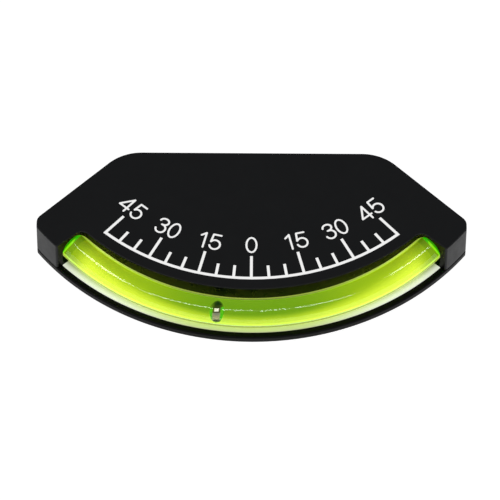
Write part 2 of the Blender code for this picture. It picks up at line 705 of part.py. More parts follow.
def liner_outline(sign):
    """The pad's outline with a tab at its outer end, to pull the liner off by."""
    middle = (PAD_TOP_Y + PAD_BOTTOM_Y) / 2
    near = sign * PAD_FROM_MIDDLE
    far = sign * PAD_FAR_X
    tab = far + sign * LINER_TAB_LENGTH
    tab_top = middle + LINER_TAB_WIDTH / 2
    tab_bottom = middle - LINER_TAB_WIDTH / 2
    round_corner = PAD_CORNER_ROUND
    corners = [
        (near, PAD_TOP_Y, round_corner),
        (far, PAD_TOP_Y, round_corner),
        (far, tab_top, 0),
        (tab, tab_top, round_corner),
        (tab, tab_bottom, round_corner),
        (far, tab_bottom, 0),
        (far, PAD_BOTTOM_Y, round_corner),
        (near, PAD_BOTTOM_Y, round_corner),
    ]
    return rounded([(Vector((x, y)), radius, CORNER_STEPS) for x, y, radius in corners])


def make_pads(parts):
    """Foam tape in the plate's pockets, standing proud of its back, each with its release liner."""
    for side, sign in (("left", -1), ("right", 1)):
        floor = PLATE_BACK + PAD_POCKET_DEPTH
        pad = plate(f"foam_pad_{side}", [pad_outline(sign)], LINER_THICKNESS, floor, parts)
        add_finish(pad, "foam_tape")
        liner = plate(f"pad_liner_{side}", [liner_outline(sign)], 0, LINER_THICKNESS, parts)
        add_finish(liner, "liner_paper")


def scale_outline():
    """The arc line with all its ticks, as one comb shaped outline."""
    reach = TICKS_EACH_SIDE * TICK_SPACING
    half_tick = TICK_WIDTH / 2
    inner_radius = SCALE_RADIUS - SCALE_LINE_WIDTH
    end = reach + half_tick / SCALE_RADIUS
    points = dial_arc(SCALE_RADIUS, -end, end)
    for tick in range(TICKS_EACH_SIDE, -TICKS_EACH_SIDE - 1, -1):
        major = tick % TICKS_PER_NUMERAL == 0
        tip = SCALE_RADIUS - (MAJOR_TICK_LENGTH if major else MINOR_TICK_LENGTH)
        angle = tick * TICK_SPACING
        edges = [(inner_radius, half_tick), (tip, half_tick), (tip, -half_tick), (inner_radius, -half_tick)]
        if tick == TICKS_EACH_SIDE:
            edges = edges[1:]
        if tick == -TICKS_EACH_SIDE:
            edges = edges[:-1]
        points += [dial_point(radius, angle, aside) for radius, aside in edges]
        if tick > -TICKS_EACH_SIDE:
            points.append(dial_point(inner_radius, angle - TICK_SPACING / 2))
    return points


def arc_stroke(centre, half_width, half_height, start, end):
    """The points of a stroke along part of an ellipse, round capped, in shares of the numeral's height."""
    steps = max(2, round(abs(end - start) / NUMERAL_ARC_STEP))
    angles = [start + (end - start) * i / steps for i in range(steps + 1)]
    return [
        Vector((centre[0] + half_width * cos(angle), centre[1] + half_height * sin(angle))) * NUMERAL_HEIGHT
        for angle in angles
    ]


def stroke_outline(path):
    """The outline of a stroke of the numerals' width along a path, with round ends."""
    half = NUMERAL_STROKE / 2
    sides = []
    for i, point in enumerate(path):
        before = path[max(i - 1, 0)]
        after = path[min(i + 1, len(path) - 1)]
        along = (after - before).normalized()
        sides.append(Vector((-along.y, along.x)) * half)
    left = [point + side for point, side in zip(path, sides)]
    right = [point - side for point, side in zip(path, sides)]
    caps = []
    for point, side in ((path[-1], sides[-1]), (path[0], -sides[0])):
        caps.append([
            point + Matrix.Rotation(-pi * step / STROKE_CAP_STEPS, 2) @ side
            for step in range(1, STROKE_CAP_STEPS)
        ])
    return left + caps[0] + right[::-1] + caps[1]


def numeral_mesh(figure, cutters):
    """One figure, upright, its foot on the X axis, with its middle and half its thickness at zero."""
    shares = NUMERAL_SHARES[figure]
    strokes = []
    for start, end in shares["lines"]:
        strokes.append([stroke_outline([Vector(start) * NUMERAL_HEIGHT, Vector(end) * NUMERAL_HEIGHT])])
    for centre, (half_width, half_height), (start, end) in shares["arcs"]:
        if end - start == 360:
            thick = NUMERAL_STROKE / NUMERAL_HEIGHT / 2
            rings = [
                arc_stroke(centre, half_width + grow, half_height + grow, 0, radians(end))[:-1]
                for grow in (thick, -thick)
            ]
            strokes.append(rings)
            continue
        path = arc_stroke(centre, half_width, half_height, radians(start), radians(end))
        strokes.append([stroke_outline(path)])
    pieces = [
        plate(f"figure {figure} stroke {i}", outlines, -INK_THICKNESS / 2, INK_THICKNESS / 2, cutters)
        for i, outlines in enumerate(strokes)
    ]
    for piece in pieces[1:]:
        boolean(pieces[0], "UNION", as_cutter(piece))
    whole = as_mesh(pieces[0], f"figure {figure}", cutters)
    mesh = whole.data
    for thing in [whole, *pieces[1:]]:
        bpy.data.objects.remove(thing, do_unlink=True)
    return mesh


def make_print(parts, cutters):
    """The white scale on the face, and its numerals, each turned with its tick."""
    ink = plate("scale_print", [scale_outline()], FACE, FACE + INK_THICKNESS, parts)
    add_finish(ink, "white_ink")
    figures = {figure: numeral_mesh(figure, cutters) for figure in NUMERAL_SHARES}
    foot_radius = SCALE_RADIUS - MAJOR_TICK_LENGTH - NUMERAL_TICK_GAP
    for tick in range(-TICKS_EACH_SIDE, TICKS_EACH_SIDE + 1, TICKS_PER_NUMERAL):
        text = str(abs(tick) * DEGREES_PER_TICK)
        side = "left_" if tick < 0 else "right_" if tick > 0 else ""
        foot = dial_point(foot_radius, tick * TICK_SPACING)
        turn = Matrix.Rotation(tick * TICK_SPACING, 4, "Z")
        place = Matrix.Translation((*foot, FACE + INK_THICKNESS / 2)) @ turn
        for i, figure in enumerate(text):
            across = (i - (len(text) - 1) / 2) * NUMERAL_PITCH
            name = f"numeral_{side}{text}" + (f"_figure_{i + 1}" if len(text) > 1 else "")
            matrix = place @ Matrix.Translation((across, 0, 0))
            add_object(name, figures[figure], parts, "white_ink", matrix)


def main():
    clear_scene()
    parts = new_collection("inclinometer")
    cutters = new_collection("cutters")
    make_housing(parts, cutters)
    make_plate(parts, cutters)
    make_tube(parts, cutters)
    make_plugs(parts)
    make_ball(parts)
    make_screws(parts, cutters)
    make_pads(parts)
    make_print(parts, cutters)
    for cutter in cutters.objects:
        as_cutter(cutter)


main()
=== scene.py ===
"""Looks of the ball inclinometer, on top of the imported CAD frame.

Every visible shell is rebuilt here more finely than in the CAD, from the same named dimensions and in the
same places: +X is the width, +Y is up the dial, +Z comes out of the face. Lengths are in metres.
"""

from math import asin, atan2, ceil, cos, pi, radians, sin, sqrt, tan

import bmesh
import bpy
from mathutils import Matrix, Vector


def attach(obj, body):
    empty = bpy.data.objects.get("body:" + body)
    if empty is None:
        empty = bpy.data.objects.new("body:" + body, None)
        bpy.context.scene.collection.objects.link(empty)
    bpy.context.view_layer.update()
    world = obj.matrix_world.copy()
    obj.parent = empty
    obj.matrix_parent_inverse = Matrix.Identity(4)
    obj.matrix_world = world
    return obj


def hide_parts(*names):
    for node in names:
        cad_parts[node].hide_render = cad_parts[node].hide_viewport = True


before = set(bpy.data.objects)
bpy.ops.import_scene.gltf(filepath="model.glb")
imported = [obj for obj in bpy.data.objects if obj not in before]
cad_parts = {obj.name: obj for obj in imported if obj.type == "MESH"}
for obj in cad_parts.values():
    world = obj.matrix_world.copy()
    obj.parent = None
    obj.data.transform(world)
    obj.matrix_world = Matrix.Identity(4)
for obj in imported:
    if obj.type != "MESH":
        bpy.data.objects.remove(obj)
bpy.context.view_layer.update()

MM = 0.001

# The driving dimensions of the CAD, repeated because this script reads only the frame
BODY_WIDTH = 117.5 * MM
BODY_HEIGHT = 55.5 * MM
ARC_HALF_ANGLE = radians(53.591)
SIDE_HEIGHT = 3.08 * MM
SHOULDER_SLOPE = radians(44.5)
END_BLOCK_WIDTH = 5.62 * MM
SHOULDER_ROUND = 13.0 * MM
SIDE_ROUND = 3.0 * MM
CORNER_ROUND = 1.2 * MM
INNER_ROUND = 0.4 * MM
MOST_ROUND_SHARE = 0.45
HOUSING_DEPTH = 10.0 * MM
FACE_THICKNESS = 2.0 * MM
WALL = 2.0 * MM
EDGE_ROUND = 0.3 * MM
OPENING_GAP = 0.2 * MM
TRENCH_GAP = 0.12 * MM
OPENING_CORNER_ROUND = 4.0 * MM
PLATE_THICKNESS = 2.1 * MM
PLATE_EDGE_ROUND = 0.45 * MM
SEAM_GAP = 0.1 * MM
TUBE_OUTER_DIAMETER = 8.1 * MM
TUBE_EDGE_MARGIN = 0.79 * MM
TUBE_CENTRE_DROP = 4.4 * MM
TUBE_BORE = 4.7 * MM
TUBE_LIFT = 0.85 * MM
TUBE_END_DEPTH = 3.3 * MM
TUBE_END_ROUND = 0.35 * MM
TRENCH_END_GAP = 0.8 * MM
BED_GAP = 0.15 * MM
BED_HEIGHT = 1.35 * MM
BED_STRIP_HEIGHT = 0.4 * MM
BED_LIP = 1.8 * MM
PLUG_LENGTH = 2.45 * MM
PLUG_GAP = 0.1 * MM
PLUG_NOSE_LENGTH = 0.5 * MM
PLUG_NOSE_DIAMETER = 3.7 * MM
PLUG_HEAD_DIAMETER = 6.4 * MM
PLUG_HEAD_LENGTH = 0.5 * MM
BALL_DIAMETER = 3.97 * MM
BALL_GAP = 0.1 * MM
BALL_ANGLE = radians(-8.28)
LIQUID_GAP = 0.02 * MM
SCREW_DIAMETER = 2.2 * MM
SCREW_LENGTH = 7.0 * MM
SCREW_POINT_LENGTH = 1.2 * MM
THREAD_PITCH = 1.1 * MM
THREAD_DEPTH = 0.25 * MM
SCREW_HEAD_DIAMETER = 4.0 * MM
SCREW_HEAD_HEIGHT = 1.1 * MM
SCREW_RECESS_WIDTH = 0.6 * MM
SCREW_RECESS_SPAN = 2.2 * MM
SCREW_RECESS_DEPTH = 0.7 * MM
SCREW_GAP = 0.15 * MM
SCREW_SINK = 0.15 * MM
BOSS_DIAMETER = 5.4 * MM
END_SCREW_FROM_SIDE = 7.15 * MM
END_SCREW_ABOVE_FOOT = 2.33 * MM
TOP_SCREW_FROM_SIDE = 27.75 * MM
TOP_SCREW_BELOW_EDGE = 7.0 * MM
PAD_FROM_MIDDLE = 7.0 * MM
PAD_FROM_SIDE = 17.75 * MM
PAD_BELOW_SCREW = 6.5 * MM
PAD_ABOVE_ARC = 9.4 * MM
PAD_CORNER_ROUND = 2.0 * MM
PAD_POCKET_DEPTH = 0.7 * MM
PAD_POCKET_GAP = 0.5 * MM
PAD_PROUD = 0.3 * MM
PAD_EDGE_ROUND = 0.12 * MM
LINER_THICKNESS = 0.1 * MM

# How finely round shapes are cut here
LONG_ARC_STEPS = 240
SHORT_ARC_STEPS = 10
CORNER_STEPS = 10
WIDE_CORNER_STEPS = 24
EDGE_STEPS = 6
TUBE_SIDES = 128
TUBE_END_STEPS = 5
GROOVE_SIDES = 96
PLUG_SIDES = 48
PLUG_NOSE_STEPS = 6
PLUG_HEAD_STEPS = 4
BALL_SEGMENTS = 64
BALL_RINGS = 40
SCREW_SIDES = 32
HOLE_SIDES = 48

# How far a cutter reaches past what it cuts, and how near to each other two points become one
OVERRUN = 1.0 * MM
WELD = 0.002 * MM

# The points of an arc nearest to a corner are left out, because the corner's round takes their place
ARC_SKIP = 2
FOOT_ARC_SKIP = 3

# How far from a surface the middle of a face may lie and still get that surface's finish, and how far the
# normal of an upright wall may rise
WALL_REACH = 0.1 * MM
BORE_REACH = 0.05 * MM
BED_REACH = 0.02 * MM
UPRIGHT = 0.1

# An edge stays sharp where its faces meet at more than this many degrees
CREASE = 40.0
TUBE_CREASE = 50.0
SMALL_PIECE_CREASE = 35.0

# Heights above the table, and radii
PLATE_BACK = PAD_PROUD
PLATE_FRONT = PLATE_BACK + PLATE_THICKNESS
SEAM = PLATE_FRONT + SEAM_GAP
FACE = SEAM + HOUSING_DEPTH
CAVITY_TOP = FACE - FACE_THICKNESS
TUBE_RADIUS = TUBE_OUTER_DIAMETER / 2
BORE_RADIUS = TUBE_BORE / 2
SCREW_HOLE_RADIUS = SCREW_DIAMETER / 2 + SCREW_GAP
BALL_RADIUS = BALL_DIAMETER / 2
TUBE_HEIGHT = PLATE_FRONT + TUBE_LIFT + TUBE_RADIUS
BALL_HEIGHT = TUBE_HEIGHT - BORE_RADIUS + BALL_RADIUS + BALL_GAP

# The outline and the places on the dial
SIDE_X = BODY_WIDTH / 2
TOP_Y = BODY_HEIGHT / 2
OUTER_RADIUS = SIDE_X / sin(ARC_HALF_ANGLE)
DIAL_CENTRE_Y = OUTER_RADIUS - TOP_Y
SIDE_FOOT_Y = DIAL_CENTRE_Y - OUTER_RADIUS * cos(ARC_HALF_ANGLE)
SHOULDER_START = SIDE_X - (TOP_Y - SIDE_FOOT_Y - SIDE_HEIGHT) / tan(SHOULDER_SLOPE)
OPENING_RADIUS = OUTER_RADIUS - TUBE_EDGE_MARGIN - TUBE_OUTER_DIAMETER - OPENING_GAP
BED_STRIP_RADIUS = OUTER_RADIUS - BED_LIP
OPENING_HALF_ANGLE = asin((SIDE_X - END_BLOCK_WIDTH) / OUTER_RADIUS)

# The tube is bent about its own centre, below the dial's, so its angles are taken about that centre
TUBE_CENTRE_Y = DIAL_CENTRE_Y - TUBE_CENTRE_DROP
TUBE_PATH_RADIUS = OUTER_RADIUS - TUBE_EDGE_MARGIN - TUBE_RADIUS - TUBE_CENTRE_DROP
TRENCH_RADIUS = TUBE_RADIUS + TRENCH_GAP
END_WALL_ANGLE = atan2(
    OUTER_RADIUS * sin(OPENING_HALF_ANGLE), OUTER_RADIUS * cos(OPENING_HALF_ANGLE) - TUBE_CENTRE_DROP
)
TUBE_HALF_ANGLE = END_WALL_ANGLE + TUBE_END_DEPTH / TUBE_PATH_RADIUS
TRENCH_HALF_ANGLE = TUBE_HALF_ANGLE + TRENCH_END_GAP / TUBE_PATH_RADIUS

# Screws and pads
END_SCREW_X = SIDE_X - END_SCREW_FROM_SIDE
END_SCREW_Y = SIDE_FOOT_Y + END_SCREW_ABOVE_FOOT
TOP_SCREW_X = SIDE_X - TOP_SCREW_FROM_SIDE
TOP_SCREW_Y = TOP_Y - TOP_SCREW_BELOW_EDGE
SCREW_PLACES = {
    "screw_end_left": (-END_SCREW_X, END_SCREW_Y),
    "screw_end_right": (END_SCREW_X, END_SCREW_Y),
    "screw_top_left": (-TOP_SCREW_X, TOP_SCREW_Y),
    "screw_top_right": (TOP_SCREW_X, TOP_SCREW_Y),
}
PAD_FAR_X = SIDE_X - PAD_FROM_SIDE
PAD_TOP_Y = TOP_SCREW_Y - PAD_BELOW_SCREW
PAD_BOTTOM_Y = DIAL_CENTRE_Y - sqrt(OUTER_RADIUS**2 - PAD_FAR_X**2) + PAD_ABOVE_ARC

# A screw head's outline, as shares of its radius and of its height above its flat
SCREW_HEAD_SHARES = ((1.0, 1.0), (1.0, 0.5), (0.97, 0.32), (0.866, 0.125), (0.7, 0.04), (0.5, 0.0))

# Each screw's cross stands at an angle of its own
SCREW_TURN_START = 0.9
SCREW_TURN_PER_MM = 0.6

# Faint sink marks in the face: x and y from the dial centre, and radius, in millimetres. The larger two are
# over the end bosses, and the others where the photograph shows them.
SINK_MARKS = ((-6.1, -29.5, 1.2), (46.1, -33.1, 1.2), (52.8, -41.1, 1.8), (-50.7, -41.3, 1.8))

cutters = bpy.data.collections.new("cutters")
bpy.context.scene.collection.children.link(cutters)


# Outlines


def dial_point(radius, angle):
    """The point at this radius and angle about the dial's centre. Zero is down."""
    return Vector((radius * sin(angle), DIAL_CENTRE_Y - radius * cos(angle)))


def dial_arc(radius, start, end, steps):
    return [dial_point(radius, start + (end - start) * i / steps) for i in range(steps + 1)]


def dial_angle(point):
    return atan2(point.x, DIAL_CENTRE_Y - point.y)


def tube_point(radius, angle):
    """The point at this radius and angle about the tube's own centre. Zero is down."""
    return Vector((radius * sin(angle), TUBE_CENTRE_Y - radius * cos(angle)))


def tube_arc(radius, start, end, steps):
    return [tube_point(radius, start + (end - start) * i / steps) for i in range(steps + 1)]


def end_wall_point(radius, inset):
    """Where the end wall, moved into the end block by inset, meets the dial's circle of this radius."""
    across = Vector((cos(END_WALL_ANGLE), sin(END_WALL_ANGLE)))
    along = Vector((sin(END_WALL_ANGLE), -cos(END_WALL_ANGLE)))
    foot = Vector((0, TUBE_CENTRE_Y - DIAL_CENTRE_Y)) + across * inset
    reach = -foot.dot(along) + sqrt(foot.dot(along) ** 2 - foot.length_squared + radius**2)
    return Vector((0, DIAL_CENTRE_Y)) + foot + along * reach


def rounded(corners):
    """An outline from corners (point, fillet radius, steps). A radius of zero keeps the corner."""
    points = []
    for i, (corner, radius, steps) in enumerate(corners):
        if not radius:
            points.append(corner)
            continue
        before = corners[i - 1][0] - corner
        after = corners[(i + 1) % len(corners)][0] - corner
        half = before.angle(after) / 2
        reach = min(radius / tan(half), MOST_ROUND_SHARE * min(before.length, after.length))
        middle = (before.normalized() + after.normalized()).normalized()
        centre = corner + middle * reach / cos(half)
        start = corner + before.normalized() * reach - centre
        end = corner + after.normalized() * reach - centre
        turn = start.angle_signed(end)
        for step in range(steps + 1):
            points.append(centre + Matrix.Rotation(-turn * step / steps, 2) @ start)
    return points


def mirrored(corners):
    return [(Vector((-point.x, point.y)), radius, steps) for point, radius, steps in reversed(corners)]


def sharp(points):
    return [(point, 0, 0) for point in points]


def shoulder_corners(inset):
    top = TOP_Y - inset
    side = SIDE_X - inset
    shoulder_top = SHOULDER_START - inset * tan(SHOULDER_SLOPE / 2)
    shoulder_bottom = top - (side - shoulder_top) * tan(SHOULDER_SLOPE)
    side_bottom = DIAL_CENTRE_Y - sqrt((OUTER_RADIUS - inset) ** 2 - side**2)
    return [
        (Vector((shoulder_top, top)), SHOULDER_ROUND - inset, WIDE_CORNER_STEPS),
        (Vector((side, shoulder_bottom)), max(SIDE_ROUND - inset, INNER_ROUND), CORNER_STEPS),
        (Vector((side, side_bottom)), max(CORNER_ROUND - inset, INNER_ROUND), CORNER_STEPS),
    ]


def body_outline(inset):
    right = shoulder_corners(inset)
    reach = dial_angle(right[-1][0])
    lower = dial_arc(OUTER_RADIUS - inset, reach, -reach, LONG_ARC_STEPS)[ARC_SKIP:-ARC_SKIP]
    return rounded(right + sharp(lower) + mirrored(right))


def housing_outline(inset, hollow=False):
    """The housing from the front. Inside, its wall follows the tube instead of the opening."""
    right = shoulder_corners(inset)
    reach = dial_angle(right[-1][0])
    depth = inset + TUBE_END_DEPTH + TRENCH_END_GAP if hollow else inset
    outer = end_wall_point(OUTER_RADIUS - inset, depth)
    side_arc = dial_arc(OUTER_RADIUS - inset, reach, dial_angle(outer), SHORT_ARC_STEPS)
    right += sharp(side_arc[FOOT_ARC_SKIP:-ARC_SKIP])
    right.append((outer, max(CORNER_ROUND / 2 - inset, INNER_ROUND), CORNER_STEPS))
    if hollow:
        wall = TUBE_PATH_RADIUS - TRENCH_RADIUS - inset
        half = END_WALL_ANGLE + asin(depth / wall)
        right.append((tube_point(wall, half), INNER_ROUND, CORNER_STEPS))
        channel = tube_arc(wall, half, -half, LONG_ARC_STEPS)[ARC_SKIP:-ARC_SKIP]
    else:
        inner = end_wall_point(OPENING_RADIUS - inset, inset)
        half = dial_angle(inner)
        right.append((inner, OPENING_CORNER_ROUND + inset, WIDE_CORNER_STEPS))
        skip = ceil(OPENING_CORNER_ROUND * LONG_ARC_STEPS / (OPENING_RADIUS * 2 * half)) + 1
        channel = dial_arc(OPENING_RADIUS - inset, half, -half, LONG_ARC_STEPS)[skip:-skip]
    return rounded(right + sharp(channel) + mirrored(right))


def pad_outline(sign, grow=0.0):
    near = sign * (PAD_FROM_MIDDLE - grow)
    far = sign * (PAD_FAR_X + grow)
    top = PAD_TOP_Y + grow
    bottom = PAD_BOTTOM_Y - grow
    corners = [(near, top), (far, top), (far, bottom), (near, bottom)]
    return rounded([(Vector(corner), PAD_CORNER_ROUND + grow, CORNER_STEPS) for corner in corners])


# Meshes


def mesh_object(name, verts, faces, collection=None):
    """A mesh object. Points that fall together are joined, and the faces are turned to point out."""
    mesh = bpy.data.meshes.new(name)
    mesh.from_pydata([tuple(v) for v in verts], [], faces)
    shape = bmesh.new()
    shape.from_mesh(mesh)
    bmesh.ops.remove_doubles(shape, verts=shape.verts, dist=WELD)
    bmesh.ops.recalc_face_normals(shape, faces=shape.faces)
    shape.to_mesh(mesh)
    shape.free()
    thing = bpy.data.objects.new(name, mesh)
    (collection or bpy.context.scene.collection).objects.link(thing)
    return thing


def row_faces(rows, count, closed=False):
    """Faces between rows of count points each. A closed one also joins its last row to its first."""
    faces = []
    for row in range(rows if closed else rows - 1):
        low, high = row * count, (row + 1) % rows * count
        for i in range(count):
            j = (i + 1) % count
            faces.append((low + i, low + j, high + j, high + i))
    return faces


def end_faces(rows, count):
    last = (rows - 1) * count
    return [tuple(reversed(range(count))), tuple(range(last, last + count))]


def stacked(name, levels, collection=None):
    """A closed solid from level outlines [(points, height)], all with the same number of points."""
    count = len(levels[0][0])
    verts = [(*point, height) for points, height in levels for point in points]
    faces = row_faces(len(levels), count) + end_faces(len(levels), count)
    return mesh_object(name, verts, faces, collection)


def round_edged(name, outline, bottom, top, bottom_round, top_round, collection=None):
    """A plate of this outline with its lower and upper edges rounded."""
    levels = []
    for step in range(EDGE_STEPS + 1):
        angle = pi / 2 * step / EDGE_STEPS
        levels.append((outline(bottom_round * (1 - sin(angle))), bottom + bottom_round * (1 - cos(angle))))
    for step in range(EDGE_STEPS + 1):
        angle = pi / 2 * step / EDGE_STEPS
        levels.append((outline(top_round * (1 - cos(angle))), top - top_round * (1 - sin(angle))))
    return stacked(name, levels, collection)


def swept(name, stations, sides, closed=False, collection=None):
    """A solid of round sections along the tube's path, from stations (tube angle, section radius)."""
    verts = []
    for angle, section in stations:
        for i in range(sides):
            turn = 2 * pi * i / sides
            point = tube_point(TUBE_PATH_RADIUS + section * cos(turn), angle)
            verts.append((*point, TUBE_HEIGHT + section * sin(turn)))
    faces = row_faces(len(stations), sides, closed)
    if not closed:
        faces += end_faces(len(stations), sides)
    return mesh_object(name, verts, faces, collection)


def even_stations(half, section):
    """Even stations of one section radius from the tube angle -half to half, which may be negative."""
    return [(half * (2 * i / LONG_ARC_STEPS - 1), section) for i in range(LONG_ARC_STEPS + 1)]


def trench():
    """What the tube's trench takes out of the housing: round over the tube and open to the back."""
    section = []
    for i in range(TUBE_SIDES // 2 + 1):
        turn = pi * i / (TUBE_SIDES // 2)
        section.append((TRENCH_RADIUS * cos(turn), TUBE_HEIGHT + TRENCH_RADIUS * sin(turn)))
    section = [(TRENCH_RADIUS, SEAM - OVERRUN), *section, (-TRENCH_RADIUS, SEAM - OVERRUN)]
    count = len(section)
    verts = []
    for i in range(LONG_ARC_STEPS + 1):
        angle = TRENCH_HALF_ANGLE * (2 * i / LONG_ARC_STEPS - 1)
        for across, height in section:
            verts.append((*tube_point(TUBE_PATH_RADIUS + across, angle), height))
    rows = LONG_ARC_STEPS + 1
    return mesh_object("trench", verts, row_faces(rows, count) + end_faces(rows, count), cutters)


def turned(name, profile, sides, collection=None):
    """A turned solid round Z from a profile of (radius, height). Its first and last radius are zero."""
    verts = []
    for radius, height in profile:
        for i in range(sides):
            turn = 2 * pi * i / sides
            verts.append((radius * cos(turn), radius * sin(turn), height))
    return mesh_object(name, verts, row_faces(len(profile), sides), collection)


def cylinder(name, radius, x, y, bottom, top):
    """An upright round cutter, or a boss."""
    profile = [(0, bottom), (radius, bottom), (radius, top), (0, top)]
    thing = turned(name, profile, HOLE_SIDES, cutters)
    thing.data.transform(Matrix.Translation((x, y, 0)))
    return thing


def box(name, size, matrix):
    """A cutter of this size, placed by a matrix."""
    shape = bmesh.new()
    bmesh.ops.create_cube(shape, size=1, matrix=matrix @ Matrix.Diagonal((*size, 1)))
    mesh = bpy.data.meshes.new(name)
    shape.to_mesh(mesh)
    shape.free()
    thing = bpy.data.objects.new(name, mesh)
    cutters.objects.link(thing)
    return thing


def boolean(thing, operation, other):
    """Applies one exact Boolean and removes the other object."""
    modifier = thing.modifiers.new(operation.lower(), "BOOLEAN")
    modifier.operation = operation
    modifier.solver = "EXACT"
    modifier.object = other
    bpy.context.view_layer.update()
    evaluated = thing.evaluated_get(bpy.context.evaluated_depsgraph_get())
    mesh = bpy.data.meshes.new_from_object(evaluated)
    thing.modifiers.clear()
    old = thing.data
    thing.data = mesh
    mesh.name = thing.name
    bpy.data.meshes.remove(old)
    bpy.data.objects.remove(other, do_unlink=True)


def paint_faces(thing, materials, choose):
    """Gives the object these materials, and each face the one whose index choose(face) returns."""
    thing.data.materials.clear()
    for material in materials:
        thing.data.materials.append(material)
    for face in thing.data.polygons:
        face.material_index = choose(face)


def shade(thing, crease=CREASE, weighted=True):
    """Smooth shading with sharp creases, and flat faces kept flat up to their rounded edges if weighted."""
    thing.data.shade_smooth()
    thing.data.set_sharp_from_angle(angle=radians(crease))
    if weighted:
        modifier = thing.modifiers.new("face weighted normals", "WEIGHTED_NORMAL")
        modifier.keep_sharp = True


def dress(thing, body, slot, *nodes):
    """Says which body the object moves with and which CAD nodes it stands for, and hides these. The slot is
    not used.
    """
    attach(thing, body)
    if nodes:
        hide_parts(*nodes)


# Materials


# The Mix node's sockets for colours
MIX_FIRST = 6
MIX_SECOND = 7
MIX_RESULT = 2


class Nodes:
    """A short way to write a node tree."""

    def __init__(self, name):
        self.material = bpy.data.materials.new(name)
        self.material.use_nodes = True
        self.tree = self.material.node_tree
        self.tree.nodes.clear()
        self.output = self.add("ShaderNodeOutputMaterial")
        self.place = self.add("ShaderNodeTexCoord").outputs["Object"]

    def add(self, kind, **settings):
        node = self.tree.nodes.new(kind)
        for name, value in settings.items():
            setattr(node, name, value)
        return node

    def put(self, node, name, value):
        socket = node.inputs[name]
        if isinstance(value, bpy.types.NodeSocket):
            self.tree.links.new(value, socket)
        else:
            socket.default_value = value
        return node

    def shader(self, kind, **values):
        node = self.add(kind)
        for name, value in values.items():
            self.put(node, name.replace("_", " "), value)
        return node.outputs[0]

    def axes(self, vector):
        """X, Y and Z of a vector."""
        parts = self.add("ShaderNodeSeparateXYZ")
        self.put(parts, "Vector", vector)
        return parts.outputs

    def maths(self, operation, *values):
        node = self.add("ShaderNodeMath", operation=operation)
        for i, value in enumerate(values):
            self.put(node, i, value)
        return node.outputs[0]

    def distance(self, first, second):
        """How far a point with these two coordinates is from their origin."""
        squares = [self.maths("MULTIPLY", value, value) for value in (first, second)]
        return self.maths("SQRT", self.maths("ADD", *squares))

    def noise(self, scale, detail=2.0, roughness=0.5):
        """Noise between 0 and 1 with about this many waves to a metre."""
        node = self.add("ShaderNodeTexNoise")
        self.put(node, "Vector", self.place)
        self.put(node, "Scale", scale)
        self.put(node, "Detail", detail)
        self.put(node, "Roughness", roughness)
        return node.outputs["Fac"]

    def spread(self, value, low, high, to_low=0.0, to_high=1.0, smooth=False):
        """Carries a value from the first range over to the second, and holds it at the ends."""
        node = self.add("ShaderNodeMapRange")
        if smooth:
            node.interpolation_type = "SMOOTHSTEP"
        for name, number in (
            ("Value", value),
            ("From Min", low),
            ("From Max", high),
            ("To Min", to_low),
            ("To Max", to_high),
        ):
            self.put(node, name, number)
        return node.outputs[0]

    def blend(self, fac, first, second):
        """The first colour where fac is 0, and the second where it is 1."""
        node = self.add("ShaderNodeMix", data_type="RGBA")
        self.put(node, "Factor", fac)
        self.put(node, MIX_FIRST, first)
        self.put(node, MIX_SECOND, second)
        return node.outputs[MIX_RESULT]

    def bump(self, height, distance, strength=1.0, normal=None):
        node = self.add("ShaderNodeBump")
        self.put(node, "Height", height)
        self.put(node, "Distance", distance)
        self.put(node, "Strength", strength)
        if normal is not None:
            self.put(node, "Normal", normal)
        return node.outputs[0]

    def finish(self, shader):
        self.tree.links.new(shader, self.output.inputs["Surface"])
        return self.material


def colour(r, g, b):
    return (r, g, b, 1.0)


BLACK = colour(0.0, 0.0, 0.0)
WHITE = colour(1.0, 1.0, 1.0)

# The side walls are darker than the grained face, as painted shade. The look changes as the normal rises
# between these heights.
WALL_SHADE = 0.36
WALL_TO_FACE = (0.3, 0.95)
SINK_DEPTH = 0.03 * MM

# The tube's edges glow with painted light where they turn away this much
TUBE_PIPING = (0.44, 0.68)

# Where one look changes into the next, as pairs of from and to. ASIDE is a distance from the middle line,
# END an angle about the tube's centre, REACH a radius about the dial's centre, and TURN an angle round the
# tube from straight below it, positive towards the dial's centre.
# Bounds of the bed's painted light and painted shade
BED_ASIDE = (12.0 * MM, 42.0 * MM)
BED_END = (radians(43.0), radians(49.0))
BED_STRIP_REACH = (68.8 * MM, 71.0 * MM)
BED_UNDER_TURN_MIDDLE = (radians(24.0), radians(35.0))
BED_UNDER_TURN_ENDS = (radians(18.0), radians(50.0))
BED_STRIP_TURN = (radians(-18.0), radians(-6.0))
BED_OUTER_TURN = (radians(-2.0), radians(12.0))
BED_INNER_TURN = (radians(20.0), radians(38.0))
# Bounds of the oil's painted glow and its painted shade
OIL_ASIDE = (8.0 * MM, 32.0 * MM)
OIL_END = (radians(45.0), radians(50.4))
OIL_SHADOW_END = (radians(22.0), radians(42.0))
OIL_SHADOW_REACH = (63.6 * MM, 66.2 * MM)
OIL_END_GLOW = 0.85
OIL_SHADOW_GLOW = 0.15

# Only the lower side of the oil glows, as painted light. Its upper limit slopes by this much towards the
# dial's centre, and is soft over this length.
OIL_PAINTED_LIGHT_SLOPE = 0.43
OIL_PAINTED_LIGHT_SOFTNESS = 0.12 * BORE_RADIUS

# The ball's reflections are painted by the direction of its surface in the world, in bands across the first
# direction here and across the tube. The bands' edges are shares of the ball's radius.
BALL_BANDS_RISE = (0.0, 0.806, 0.592)
BALL_DARK_TOP = (0.36, 0.50)
BALL_LOWER = (-0.20, -0.06)
BALL_FOOT = (-0.90, -0.78)
BALL_GLINT_LOWER = (-0.02, 0.04)
BALL_GLINT_UPPER = (0.30, 0.36)
BALL_GLINT_SIDES = (0.26, 0.34)
BALL_OIL_SIDES = (0.44, 0.62)
BALL_RIM = (0.90, 0.99)

# Noise between these values is stretched to a finish's least and most roughness, and a moulding's patches
# differ from its roughness by this much
NOISE_MIDDLE = (0.3, 0.7)
PATCH_ROUGHNESS = 0.04


